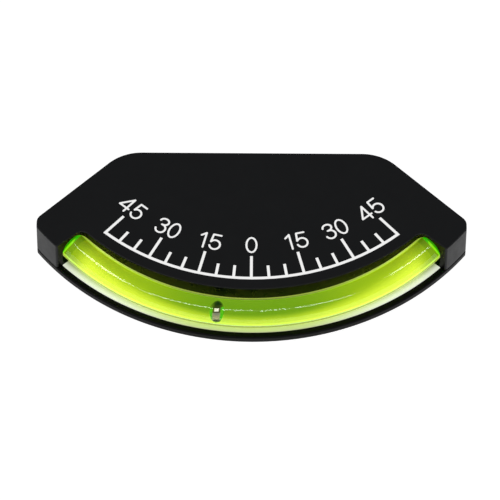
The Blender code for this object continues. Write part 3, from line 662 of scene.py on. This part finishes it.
def principled(n, base, roughness, metallic=0.0, normal=None, **others):
    node = n.add("ShaderNodeBsdfPrincipled")
    n.put(node, "Base Color", base)
    n.put(node, "Roughness", roughness)
    n.put(node, "Metallic", metallic)
    if normal is not None:
        n.put(node, "Normal", normal)
    for name, value in others.items():
        n.put(node, name.replace("_", " "), value)
    return node


def sink_marks(n):
    """0 in the middle of a sink mark and 1 outside them all."""
    flat = n.add("ShaderNodeVectorMath", operation="MULTIPLY")
    n.put(flat, 0, n.place)
    n.put(flat, 1, (1.0, 1.0, 0.0))
    outside = 1.0
    for x, y, radius in SINK_MARKS:
        offset = n.add("ShaderNodeVectorMath", operation="DISTANCE")
        n.put(offset, 0, flat.outputs[0])
        n.put(offset, 1, (x * MM, DIAL_CENTRE_Y + y * MM, 0.0))
        dip = n.spread(offset.outputs["Value"], 0.0, radius * MM, smooth=True)
        outside = n.maths("MULTIPLY", outside, dip)
    return outside


def moulded_black(name, dark, light, roughness, grain, gloss, sink_marks_and_wall_shade=False):
    """Black moulded plastic: fine spark grain, slow waves of the moulding and a slight change in gloss."""
    n = Nodes(name)
    cloud = n.noise(120.0, 3.0, 0.55)
    base = n.blend(cloud, colour(*dark), colour(*light))
    patch = n.noise(420.0, 2.0, 0.5)
    rough = n.spread(patch, *NOISE_MIDDLE, roughness - PATCH_ROUGHNESS, roughness + PATCH_ROUGHNESS)
    fine = n.noise(5200.0, 2.0, 0.6)
    wave = n.bump(n.noise(38.0, 1.0, 0.4), 0.06 * MM, 0.5)
    if sink_marks_and_wall_shade:
        # The side walls are darker than the face, as painted shade
        upward = n.axes(n.add("ShaderNodeNewGeometry").outputs["True Normal"])["Z"]
        on_face = n.spread(upward, *WALL_TO_FACE, smooth=True)
        base = n.blend(on_face, colour(*(WALL_SHADE * share for share in dark)), base)
        wave = n.bump(sink_marks(n), SINK_DEPTH, 1.0, wave)
    normal = n.bump(fine, grain, 0.6, wave)
    node = principled(n, base, rough, normal=normal, IOR=1.5)
    n.put(node, "Specular IOR Level", gloss)
    return n.finish(node.outputs[0])


def bed_white_with_painted_light():
    """The bed under the tube is painted white. It glows softly with painted light, most right under the
    tube.
    """
    n = Nodes("bed_white_with_painted_light")
    x, y, z = n.axes(n.place)
    out = n.maths("SUBTRACT", TUBE_CENTRE_Y, y)
    across = n.maths("SUBTRACT", TUBE_PATH_RADIUS, n.distance(x, out))
    turn = n.maths("ARCTAN2", across, n.maths("SUBTRACT", TUBE_HEIGHT, z))
    far = n.spread(n.maths("ABSOLUTE", x), *BED_ASIDE, smooth=True)
    under_middle = n.spread(turn, *BED_UNDER_TURN_MIDDLE, 1.0, 0.0, smooth=True)
    under_ends = n.spread(turn, *BED_UNDER_TURN_ENDS, 1.0, 0.0, smooth=True)
    under = n.spread(far, 0.0, 1.0, under_middle, under_ends)

    # The pale strip beside the tube: its glow is painted light, with painted shade nearest the tube
    reach = n.distance(x, n.maths("SUBTRACT", DIAL_CENTRE_Y, y))
    lit = n.spread(reach, *BED_STRIP_REACH, smooth=True)
    middle = n.blend(lit, colour(0.34, 0.41, 0.06), colour(0.40, 0.46, 0.20))
    sides = n.blend(lit, colour(0.22, 0.27, 0.08), colour(0.68, 0.72, 0.60))
    strip = n.blend(far, middle, sides)

    # The yellow light under the tube is painted light, less of it towards the dial and at the ends
    at_end = n.spread(n.maths("ABSOLUTE", n.maths("ARCTAN2", x, out)), *BED_END, smooth=True)
    inner_side = n.spread(turn, *BED_INNER_TURN, smooth=True)
    edge = n.spread(turn, *BED_OUTER_TURN, smooth=True)
    warm = n.blend(edge, colour(0.56, 0.66, 0.28), colour(0.64, 0.76, 0.38))
    warm = n.blend(inner_side, warm, colour(0.34, 0.44, 0.02))
    warm = n.blend(at_end, warm, colour(0.12, 0.15, 0.012))
    glow = n.blend(n.spread(turn, *BED_STRIP_TURN, 1.0, 0.0, smooth=True), warm, strip)

    # The paint is darker towards the dial and at the ends, and darkest off the tube's underside, as painted
    # shade
    paint = n.blend(n.noise(900.0, 2.0, 0.5), colour(0.56, 0.56, 0.52), colour(0.64, 0.64, 0.60))
    paint = n.blend(inner_side, paint, colour(0.16, 0.18, 0.02))
    paint = n.blend(at_end, paint, colour(0.04, 0.045, 0.01))
    base = n.blend(under, colour(0.01, 0.012, 0.004), paint)
    node = principled(n, base, 0.5, normal=n.bump(n.noise(2400.0), 0.01 * MM, 0.4))
    n.put(node, "Emission Color", n.blend(under, BLACK, glow))
    n.put(node, "Emission Strength", 1.0)
    return n.finish(node.outputs[0])


def tube_clear():
    """Clear acrylic. The oil's light that its edges pipe is painted on them as a colour and a glow."""
    n = Nodes("tube_clear")
    clear = n.blend(n.noise(90.0, 1.0, 0.3), colour(0.985, 1.0, 0.99), WHITE)
    grazing = n.add("ShaderNodeLayerWeight").outputs["Facing"]
    piping = n.spread(grazing, *TUBE_PIPING, smooth=True)
    node = principled(n, n.blend(piping, clear, colour(0.34, 0.42, 0.12)), 0.08, IOR=1.49)
    n.put(node, "Transmission Weight", 1.0)
    n.put(node, "Specular Tint", colour(0.92, 0.96, 0.74))
    n.put(node, "Emission Color", n.blend(piping, BLACK, colour(0.28, 0.36, 0.05)))
    n.put(node, "Emission Strength", 1.0)
    return n.finish(node.outputs[0])


def bore_wetted():
    """The wetted wall of the bore: the oil matches the plastic, so light passes it straight."""
    n = Nodes("bore_wetted")
    return n.finish(n.shader("ShaderNodeBsdfTransparent", Color=WHITE))


def oil_yellow_green_painted_glow():
    """Damping oil with a fluorescent dye: a tint for what is seen through it, and a glow that is painted
    light.
    """
    n = Nodes("oil_yellow_green_painted_glow")
    x, y, z = n.axes(n.place)
    out = n.maths("SUBTRACT", TUBE_CENTRE_Y, y)
    clouded = n.blend(n.noise(22.0, 1.0, 0.4), colour(0.180, 0.460, 0.016), colour(0.195, 0.480, 0.020))
    aside = n.spread(n.maths("ABSOLUTE", x), *OIL_ASIDE, smooth=True)
    glow_colour = n.blend(aside, clouded, colour(0.30, 0.58, 0.020))

    # The glow is less in the end blocks and, near the ends, under the face, as painted shade
    reach = n.distance(x, n.maths("SUBTRACT", DIAL_CENTRE_Y, y))
    angle = n.maths("ABSOLUTE", n.maths("ARCTAN2", x, out))
    open_sky = n.spread(angle, *OIL_END, 1.0, OIL_END_GLOW, smooth=True)
    under_face = n.spread(reach, *OIL_SHADOW_REACH, OIL_SHADOW_GLOW, 1.0, smooth=True)
    near_end = n.spread(angle, *OIL_SHADOW_END, smooth=True)
    shadow = n.spread(near_end, 0.0, 1.0, 1.0, under_face)

    # Only the lower side glows, as painted light
    across = n.maths("SUBTRACT", TUBE_PATH_RADIUS, n.distance(x, out))
    level = n.maths("MULTIPLY", across, OIL_PAINTED_LIGHT_SLOPE)
    above = n.maths("SUBTRACT", n.maths("SUBTRACT", z, TUBE_HEIGHT), level)
    low_side = n.spread(above, -OIL_PAINTED_LIGHT_SOFTNESS, OIL_PAINTED_LIGHT_SOFTNESS, 1.0, 0.0, smooth=True)
    strength = n.maths("MULTIPLY", n.maths("MULTIPLY", open_sky, shadow), low_side)
    add = n.add("ShaderNodeAddShader")
    n.put(add, 0, n.shader("ShaderNodeBsdfTransparent", Color=colour(0.80, 0.74, 0.34)))
    n.put(add, 1, n.shader("ShaderNodeEmission", Color=glow_colour, Strength=strength))
    return n.finish(add.outputs[0])


def stopper_green_painted_light():
    """Translucent rubber. Its green colour and glow are painted light, the dyed oil's light that shows in
    it.
    """
    n = Nodes("stopper_green_painted_light")
    base = n.blend(n.noise(700.0), colour(0.004, 0.46, 0.004), colour(0.006, 0.54, 0.006))
    node = principled(n, base, 0.28, normal=n.bump(n.noise(3000.0), 0.004 * MM, 0.4))
    n.put(node, "Emission Color", colour(0.0, 0.62, 0.004))
    n.put(node, "Emission Strength", 0.6)
    return n.finish(node.outputs[0])


def ball_polished():
    """Polished steel with painted reflections: the dyed oil at both sides of it, along the tube."""
    n = Nodes("ball_polished")
    normal = n.add("ShaderNodeNewGeometry").outputs["Normal"]

    def towards(direction):
        facing = n.add("ShaderNodeVectorMath", operation="DOT_PRODUCT")
        n.put(facing, 0, normal)
        n.put(facing, 1, direction)
        return facing.outputs["Value"]

    along = n.maths("ABSOLUTE", towards((cos(BALL_ANGLE), sin(BALL_ANGLE), 0.0)))
    rise = towards(BALL_BANDS_RISE)
    # A painted highlight, and painted shade at the foot and round the rim, where the glow is weaker
    glint = n.spread(rise, *BALL_GLINT_LOWER)
    glint = n.maths("MULTIPLY", glint, n.spread(rise, *BALL_GLINT_UPPER, 1.0, 0.0))
    glint = n.maths("MULTIPLY", glint, n.spread(along, *BALL_GLINT_SIDES, 1.0, 0.0))
    lower = n.spread(rise, *BALL_LOWER, 1.0, 0.0, smooth=True)
    foot = n.spread(rise, *BALL_FOOT, 1.0, 0.0, smooth=True)
    beside = n.spread(along, *BALL_OIL_SIDES, smooth=True)
    dark_top = n.spread(rise, *BALL_DARK_TOP, smooth=True)
    reflection = n.blend(lower, colour(0.03, 0.035, 0.02), colour(0.24, 0.28, 0.42))
    reflection = n.blend(beside, reflection, colour(0.0, 0.47, 0.012))
    reflection = n.blend(dark_top, reflection, colour(0.006, 0.040, 0.003))
    reflection = n.blend(glint, reflection, colour(1.1, 1.2, 2.0))
    reflection = n.blend(foot, reflection, colour(0.01, 0.03, 0.004))

    scratch = n.noise(1800.0, 3.0, 0.6)
    steel = n.blend(scratch, colour(0.20, 0.22, 0.18), colour(0.26, 0.28, 0.24))
    # The steel is darker at the foot, as painted shade
    base = n.blend(foot, steel, colour(0.02, 0.025, 0.015))
    node = principled(n, base, n.spread(scratch, *NOISE_MIDDLE, 0.03, 0.07), 1.0)
    n.put(node, "Emission Color", reflection)
    n.put(node, "Emission Strength", n.spread(along, *BALL_RIM, 1.0, 0.25, smooth=True))
    return n.finish(node.outputs[0])


def screw_zinc():
    n = Nodes("screw_zinc")
    grind = n.noise(1500.0, 3.0, 0.6)
    base = n.blend(grind, colour(0.50, 0.50, 0.47), colour(0.64, 0.63, 0.58))
    rough = n.spread(grind, *NOISE_MIDDLE, 0.26, 0.42)
    return n.finish(principled(n, base, rough, 1.0, normal=n.bump(grind, 0.006 * MM, 0.5)).outputs[0])


def ink_white():
    n = Nodes("ink_white")
    cover = n.noise(1600.0, 3.0, 0.6)
    base = n.blend(cover, colour(0.80, 0.81, 0.80), colour(0.88, 0.89, 0.88))
    rough = n.spread(cover, *NOISE_MIDDLE, 0.45, 0.6)
    node = principled(n, base, rough, normal=n.bump(cover, 0.004 * MM, 0.5))
    # The ink's glow is painted light, which makes the print brighter
    n.put(node, "Emission Color", colour(1.0, 1.0, 0.99))
    n.put(node, "Emission Strength", 0.76)
    return n.finish(node.outputs[0])


def foam_closed_cell():
    n = Nodes("foam_closed_cell")
    cell = n.add("ShaderNodeTexVoronoi")
    n.put(cell, "Vector", n.place)
    n.put(cell, "Scale", 4200.0)
    depth = cell.outputs["Distance"]
    base = n.blend(depth, colour(0.62, 0.62, 0.60), colour(0.80, 0.80, 0.77))
    return n.finish(principled(n, base, 0.9, normal=n.bump(depth, 0.04 * MM, 0.8)).outputs[0])


def liner_glassine():
    n = Nodes("liner_glassine")
    fibre = n.noise(800.0, 4.0, 0.7)
    base = n.blend(fibre, colour(0.66, 0.60, 0.42), colour(0.74, 0.68, 0.50))
    rough = n.spread(fibre, *NOISE_MIDDLE, 0.34, 0.5)
    return n.finish(principled(n, base, rough, normal=n.bump(fibre, 0.008 * MM, 0.5)).outputs[0])


def make_materials():
    face = moulded_black(
        "housing_moulded",
        (0.052, 0.054, 0.058),
        (0.062, 0.065, 0.069),
        roughness=0.36,
        grain=0.006 * MM,
        gloss=0.12,
        sink_marks_and_wall_shade=True,
    )
    # The channel is the same moulding, far darker as painted shade in the recess
    channel = moulded_black(
        "channel_moulded_painted_shade",
        (0.0030, 0.0024, 0.0028),
        (0.0040, 0.0032, 0.0036),
        roughness=0.30,
        grain=0.002 * MM,
        gloss=0.08,
    )
    plate = moulded_black(
        "plate_moulded",
        (0.0056, 0.0056, 0.0058),
        (0.0070, 0.0070, 0.0072),
        roughness=0.42,
        grain=0.006 * MM,
        gloss=0.08,
    )
    return {
        "housing": face,
        "channel": channel,
        "plate": plate,
        "bed": bed_white_with_painted_light(),
        "tube": tube_clear(),
        "bore": bore_wetted(),
        "oil": oil_yellow_green_painted_glow(),
        "stopper": stopper_green_painted_light(),
        "ball": ball_polished(),
        "screw": screw_zinc(),
        "ink": ink_white(),
        "foam": foam_closed_cell(),
        "liner": liner_glassine(),
    }


MATERIALS = make_materials()


# Pieces


def one_finish(thing, material):
    paint_faces(thing, [MATERIALS[material]], lambda face: 0)


def from_tube_path(point):
    """How far a point is from the tube's path, seen from the front. Positive is away from its centre."""
    return sqrt(point.x**2 + (point.y - TUBE_CENTRE_Y) ** 2) - TUBE_PATH_RADIUS


def make_housing():
    shell = round_edged("housing_shell", housing_outline, SEAM, FACE, EDGE_ROUND, EDGE_ROUND)
    hollow = housing_outline(WALL, hollow=True)
    levels = [(hollow, SEAM - OVERRUN), (hollow, CAVITY_TOP)]
    boolean(shell, "DIFFERENCE", stacked("cavity", levels, cutters))
    boss_top = CAVITY_TOP + FACE_THICKNESS / 2
    for x, y in SCREW_PLACES.values():
        boolean(shell, "UNION", cylinder("boss", BOSS_DIAMETER / 2, x, y, SEAM, boss_top))
    for x, y in SCREW_PLACES.values():
        boolean(shell, "DIFFERENCE", cylinder("pilot", SCREW_HOLE_RADIUS, x, y, SEAM - OVERRUN, CAVITY_TOP))
    boolean(shell, "DIFFERENCE", trench())

    def zone(face):
        """The channel's darker look, painted shade, is on the opening's wall and in the trench."""
        middle = face.center
        radius = sqrt(middle.x**2 + (middle.y - DIAL_CENTRE_Y) ** 2)
        on_wall = abs(radius - OPENING_RADIUS) < WALL_REACH and abs(face.normal.z) < UPRIGHT
        beside_path = abs(from_tube_path(middle)) < TRENCH_RADIUS + WALL_REACH
        in_trench = beside_path and middle.z < TUBE_HEIGHT + TRENCH_RADIUS
        return 1 if (on_wall or in_trench) and SEAM < middle.z < FACE - EDGE_ROUND / 2 else 0

    paint_faces(shell, [MATERIALS["housing"], MATERIALS["channel"]], zone)
    shade(shell)
    dress(shell, "instrument", "housing_plastic", "front_housing")


def bed(name, inner, outer, half, top):
    """A low block under the tube, between a circle about the tube's centre and an outer arc of points."""
    outline = tube_arc(inner, half, -half, LONG_ARC_STEPS) + outer
    return stacked(name, [(outline, PLATE_FRONT - PLATE_THICKNESS / 2), (outline, top)], cutters)


def make_plate():
    rounds = (PLATE_EDGE_ROUND, PLATE_EDGE_ROUND)
    back = round_edged("rear_plate", body_outline, PLATE_BACK, PLATE_FRONT, *rounds)
    wall = TUBE_PATH_RADIUS - TUBE_RADIUS
    half = END_WALL_ANGLE - TRENCH_GAP / TUBE_PATH_RADIUS
    crest = tube_arc(TUBE_PATH_RADIUS, -half, half, LONG_ARC_STEPS)
    boolean(back, "UNION", bed("bed", wall, crest, half, PLATE_FRONT + BED_HEIGHT))
    strip_half = half - TRENCH_GAP / TUBE_PATH_RADIUS
    side = end_wall_point(BED_STRIP_RADIUS, -2 * TRENCH_GAP)
    strip_edge = dial_arc(BED_STRIP_RADIUS, -dial_angle(side), dial_angle(side), LONG_ARC_STEPS)
    strip_top = PLATE_FRONT + BED_STRIP_HEIGHT
    boolean(back, "UNION", bed("strip", wall + TRENCH_GAP, strip_edge, strip_half, strip_top))
    stations = even_stations(TRENCH_HALF_ANGLE, TUBE_RADIUS + BED_GAP)
    boolean(back, "DIFFERENCE", swept("groove", stations, GROOVE_SIDES, collection=cutters))
    for sign in (-1, 1):
        outline = pad_outline(sign, PAD_POCKET_GAP)
        if sign < 0:
            outline = outline[::-1]
        levels = [(outline, PLATE_BACK - OVERRUN), (outline, PLATE_BACK + PAD_POCKET_DEPTH)]
        boolean(back, "DIFFERENCE", stacked("pocket", levels, cutters))
    head_radius = SCREW_HEAD_DIAMETER / 2 + SCREW_GAP
    head_floor = PLATE_BACK + SCREW_SINK + SCREW_HEAD_HEIGHT + SEAM_GAP
    below = PLATE_BACK - OVERRUN
    for x, y in SCREW_PLACES.values():
        boolean(back, "DIFFERENCE", cylinder("hole", SCREW_HOLE_RADIUS, x, y, below, SEAM + OVERRUN))
        boolean(back, "DIFFERENCE", cylinder("recess", head_radius, x, y, below, head_floor))

    def zone(face):
        """All that stands above the plate's front is bed."""
        return 1 if face.center.z > PLATE_FRONT + BED_REACH else 0

    paint_faces(back, [MATERIALS["plate"], MATERIALS["bed"]], zone)
    shade(back)
    dress(back, "instrument", "plate_plastic", "back_plate")


def make_tube():
    """The bent tube with its open bore, and the oil between the stoppers."""
    inside = TUBE_HALF_ANGLE - TUBE_END_ROUND / TUBE_PATH_RADIUS
    end = []
    for step in range(TUBE_END_STEPS + 1):
        angle = pi / 2 * step / TUBE_END_STEPS
        out = TUBE_END_ROUND * cos(angle) / TUBE_PATH_RADIUS
        end.append((-inside - out, TUBE_RADIUS - TUBE_END_ROUND * (1 - sin(angle))))
    outer = end + even_stations(inside, TUBE_RADIUS)[1:-1]
    outer += [(-angle, section) for angle, section in reversed(end)]
    bore = even_stations(-TUBE_HALF_ANGLE, BORE_RADIUS)
    tube = swept("vial_glass", outer + bore, TUBE_SIDES, closed=True)

    def zone(face):
        across = from_tube_path(face.center)
        up = face.center.z - TUBE_HEIGHT
        return 1 if sqrt(across**2 + up**2) < BORE_RADIUS + BORE_REACH else 0

    paint_faces(tube, [MATERIALS["tube"], MATERIALS["bore"]], zone)
    shade(tube, TUBE_CREASE, weighted=False)
    dress(tube, "instrument", "clear_plastic", "vial_tube")

    reach = TUBE_HALF_ANGLE - (PLUG_LENGTH + 2 * LIQUID_GAP) / TUBE_PATH_RADIUS
    oil = swept("damping_oil", even_stations(reach, BORE_RADIUS - LIQUID_GAP), TUBE_SIDES)
    one_finish(oil, "oil")
    shade(oil, TUBE_CREASE, weighted=False)
    dress(oil, "instrument", "clear_plastic")


def plug_profile():
    """Radius and height from the head's rounded outside, over the body, to the rounded edge of the nose."""
    body = BORE_RADIUS - PLUG_GAP
    head = PLUG_HEAD_DIAMETER / 2
    nose = PLUG_NOSE_DIAMETER / 2
    soft = PLUG_HEAD_LENGTH / 3
    top = LIQUID_GAP + PLUG_HEAD_LENGTH
    profile = [(0, top), (head - soft, top)]
    for step in range(1, PLUG_HEAD_STEPS + 1):
        angle = pi / 2 * step / PLUG_HEAD_STEPS
        profile.append((head - soft * (1 - sin(angle)), top - soft * (1 - cos(angle))))
    profile += [(head, LIQUID_GAP + soft / 2), (head - soft / 2, LIQUID_GAP), (body, LIQUID_GAP)]
    for step in range(PLUG_NOSE_STEPS + 1):
        angle = pi / 2 * step / PLUG_NOSE_STEPS
        height = PLUG_NOSE_LENGTH * (1 - sin(angle)) - PLUG_LENGTH
        profile.append((nose + (body - nose) * cos(angle), height))
    return [*profile, (0, -PLUG_LENGTH)]


def make_plugs():
    for side, sign in (("left", -1), ("right", 1)):
        plug = turned(f"stopper_{side}", plug_profile(), PLUG_SIDES)
        middle = tube_point(TUBE_PATH_RADIUS, sign * TUBE_HALF_ANGLE)
        turn = Matrix.Rotation(sign * TUBE_HALF_ANGLE, 4, "Z") @ Matrix.Rotation(sign * pi / 2, 4, "Y")
        plug.data.transform(Matrix.Translation((*middle, TUBE_HEIGHT)) @ turn)
        one_finish(plug, "stopper")
        shade(plug, SMALL_PIECE_CREASE, weighted=False)
        dress(plug, "instrument", "stopper_rubber", f"vial_plug_{side}")


def make_ball():
    shape = bmesh.new()
    bmesh.ops.create_uvsphere(shape, u_segments=BALL_SEGMENTS, v_segments=BALL_RINGS, radius=BALL_RADIUS)
    mesh = bpy.data.meshes.new("steel_ball")
    shape.to_mesh(mesh)
    shape.free()
    middle = tube_point(TUBE_PATH_RADIUS, BALL_ANGLE)
    mesh.transform(Matrix.Translation((*middle, BALL_HEIGHT)))
    ball = bpy.data.objects.new("steel_ball", mesh)
    bpy.context.scene.collection.objects.link(ball)
    one_finish(ball, "ball")
    mesh.shade_smooth()
    dress(ball, "ball", "ball_steel", "ball")


def screw_profile():
    """Radius and height from the point down to the head's flat, which is at the bottom."""
    outer = SCREW_DIAMETER / 2
    core = outer - THREAD_DEPTH
    head = SCREW_HEAD_DIAMETER / 2
    thread_start = SCREW_HEAD_HEIGHT + THREAD_PITCH
    thread_end = SCREW_LENGTH - SCREW_POINT_LENGTH
    turns = int((thread_end - thread_start) / THREAD_PITCH)
    profile = [(0, SCREW_LENGTH), (core, thread_start + turns * THREAD_PITCH)]
    for turn in reversed(range(turns)):
        foot = thread_start + turn * THREAD_PITCH
        profile += [(outer, foot + THREAD_PITCH / 2), (core, foot)]
    profile.append((core, SCREW_HEAD_HEIGHT))
    profile += [(head * across, SCREW_HEAD_HEIGHT * up) for across, up in SCREW_HEAD_SHARES]
    return [*profile, (0, 0)]


def make_screws():
    """Four self-tapping screws with cross recesses, put in from behind."""
    middle = Matrix.Translation((0, 0, (SCREW_RECESS_DEPTH - OVERRUN) / 2))
    slot_height = SCREW_RECESS_DEPTH + OVERRUN
    slots = (
        (SCREW_RECESS_WIDTH, SCREW_RECESS_SPAN, slot_height),
        (SCREW_RECESS_SPAN, SCREW_RECESS_WIDTH, slot_height),
    )
    for name, (x, y) in SCREW_PLACES.items():
        screw = turned(f"tapping_{name}", screw_profile(), SCREW_SIDES)
        for size in slots:
            boolean(screw, "DIFFERENCE", box("recess", size, middle))
        turn = Matrix.Rotation(SCREW_TURN_PER_MM * x / MM + SCREW_TURN_START, 4, "Z")
        screw.data.transform(Matrix.Translation((x, y, PLATE_BACK + SCREW_SINK)) @ turn)
        one_finish(screw, "screw")
        shade(screw, SMALL_PIECE_CREASE)
        dress(screw, "instrument", "screw_steel", name)


def make_pads():
    """Foam tape with its cut edges a little drawn in. The liners on it are CAD nodes."""
    top = PLATE_BACK + PAD_POCKET_DEPTH
    for side, sign in (("left", -1), ("right", 1)):

        def outline(inset, sign=sign):
            points = pad_outline(sign, -inset)
            return points if sign > 0 else points[::-1]

        pad = round_edged(f"foam_{side}", outline, LINER_THICKNESS, top, PAD_EDGE_ROUND, PAD_EDGE_ROUND)
        one_finish(pad, "foam")
        shade(pad)
        dress(pad, "instrument", "foam_tape", f"foam_pad_{side}")


def keep_nodes():
    """CAD nodes whose shape is right stay, with a finer material."""
    for name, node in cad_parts.items():
        if name == "scale_print" or name.startswith("numeral_"):
            finish = "ink"
        elif name.startswith("pad_liner"):
            finish = "liner"
        else:
            continue
        for slot in node.material_slots:
            slot.material = MATERIALS[finish]


# Stage


# The camera is fitted to the photograph. Its lens and sensor are in millimetres.
CAMERA_PLACE = Vector((-0.4025, -983.2873, 1341.5864)) * MM
CAMERA_RIGHT = Vector((0.99998, 0.00511, 0.00376))
CAMERA_UP = Vector((-0.00634, 0.80549, 0.59258))
CAMERA_LENS = 436.44
CAMERA_SENSOR = 36.0
CAMERA_NEAREST = 0.01
CAMERA_FARTHEST = 50.0

FLOOR_REACH = 6.0
FLOOR_DEPTH = 0.02 * MM
WORLD_STRENGTH = 0.14

# The dashed highlight on the tube is the reflection of a row of small lamps above it, a little in front,
# with a strip at each side. All are in metres and watts.
LAMP_HEIGHT = 0.51
LAMP_LENGTH = 0.09
ROW_COUNT = 22
ROW_START = -0.305
ROW_SPACING = 0.0275
ROW_IN_FRONT = 0.185
ROW_BEND = 0.4
ROW_LAMP_WIDTH = 0.011
ROW_LAMP_POWER = 0.036
STRIP_POWER_PER_METRE = 2.8
STRIP_ENDS = {
    "side_left": (Vector((-0.315, 0.09, LAMP_HEIGHT)), Vector((-0.345, -0.16, LAMP_HEIGHT))),
    "side_right": (Vector((0.29, -0.02, LAMP_HEIGHT)), Vector((0.375, 0.075, LAMP_HEIGHT))),
}


def make_camera():
    data = bpy.data.cameras.new("camera")
    data.sensor_width = CAMERA_SENSOR
    data.lens = CAMERA_LENS
    data.clip_start = CAMERA_NEAREST
    data.clip_end = CAMERA_FARTHEST
    camera = bpy.data.objects.new("camera", data)
    bpy.context.scene.collection.objects.link(camera)
    back = CAMERA_RIGHT.cross(CAMERA_UP).normalized()
    up = back.cross(CAMERA_RIGHT).normalized()
    turn = Matrix((CAMERA_RIGHT.normalized(), up, back)).transposed().to_4x4()
    camera.matrix_world = Matrix.Translation(CAMERA_PLACE) @ turn
    bpy.context.scene.camera = camera


def make_floor():
    n = Nodes("floor_white")
    node = principled(n, colour(0.45, 0.45, 0.45), 0.9)
    n.put(node, "Specular IOR Level", 0.0)
    n.put(node, "Emission Color", WHITE)
    n.put(node, "Emission Strength", 1.0)
    signs = ((-1, -1), (1, -1), (1, 1), (-1, 1))
    corners = [(x * FLOOR_REACH, y * FLOOR_REACH, -FLOOR_DEPTH) for x, y in signs]
    floor = mesh_object("floor", corners, [(0, 1, 2, 3)])
    floor.data.materials.append(n.finish(node.outputs[0]))


def lamp(name, place, width, power):
    """A long lamp that faces the middle of the object and shows in reflections alone."""
    data = bpy.data.lights.new(name, "AREA")
    data.shape = "RECTANGLE"
    data.size = width
    data.size_y = LAMP_LENGTH
    data.energy = power
    light = bpy.data.objects.new(name, data)
    bpy.context.scene.collection.objects.link(light)
    light.location = place
    light.rotation_euler = place.to_track_quat("Z", "Y").to_euler()
    light.visible_diffuse = False
    light.visible_transmission = False
    return light


def make_lights():
    world = bpy.data.worlds.new("studio")
    bpy.context.scene.world = world
    world.use_nodes = True
    shader = world.node_tree.nodes["Background"]
    shader.inputs["Color"].default_value = WHITE
    shader.inputs["Strength"].default_value = WORLD_STRENGTH
    for i in range(ROW_COUNT):
        x = ROW_START + ROW_SPACING * i
        y = -ROW_IN_FRONT - ROW_BEND * x**2
        lamp(f"row_{i}", Vector((x, y, LAMP_HEIGHT)), ROW_LAMP_WIDTH, ROW_LAMP_POWER)
    for name, (start, end) in STRIP_ENDS.items():
        along = end - start
        strip = lamp(name, (start + end) / 2, along.length, STRIP_POWER_PER_METRE * along.length)
        strip.rotation_euler = (0, 0, atan2(along.y, along.x))


# All of it


make_housing()
make_plate()
make_tube()
make_plugs()
make_ball()
make_screws()
make_pads()
keep_nodes()
make_floor()
make_lights()
make_camera()
bpy.data.collections.remove(cutters)
bpy.context.scene.view_settings.view_transform = "Standard"
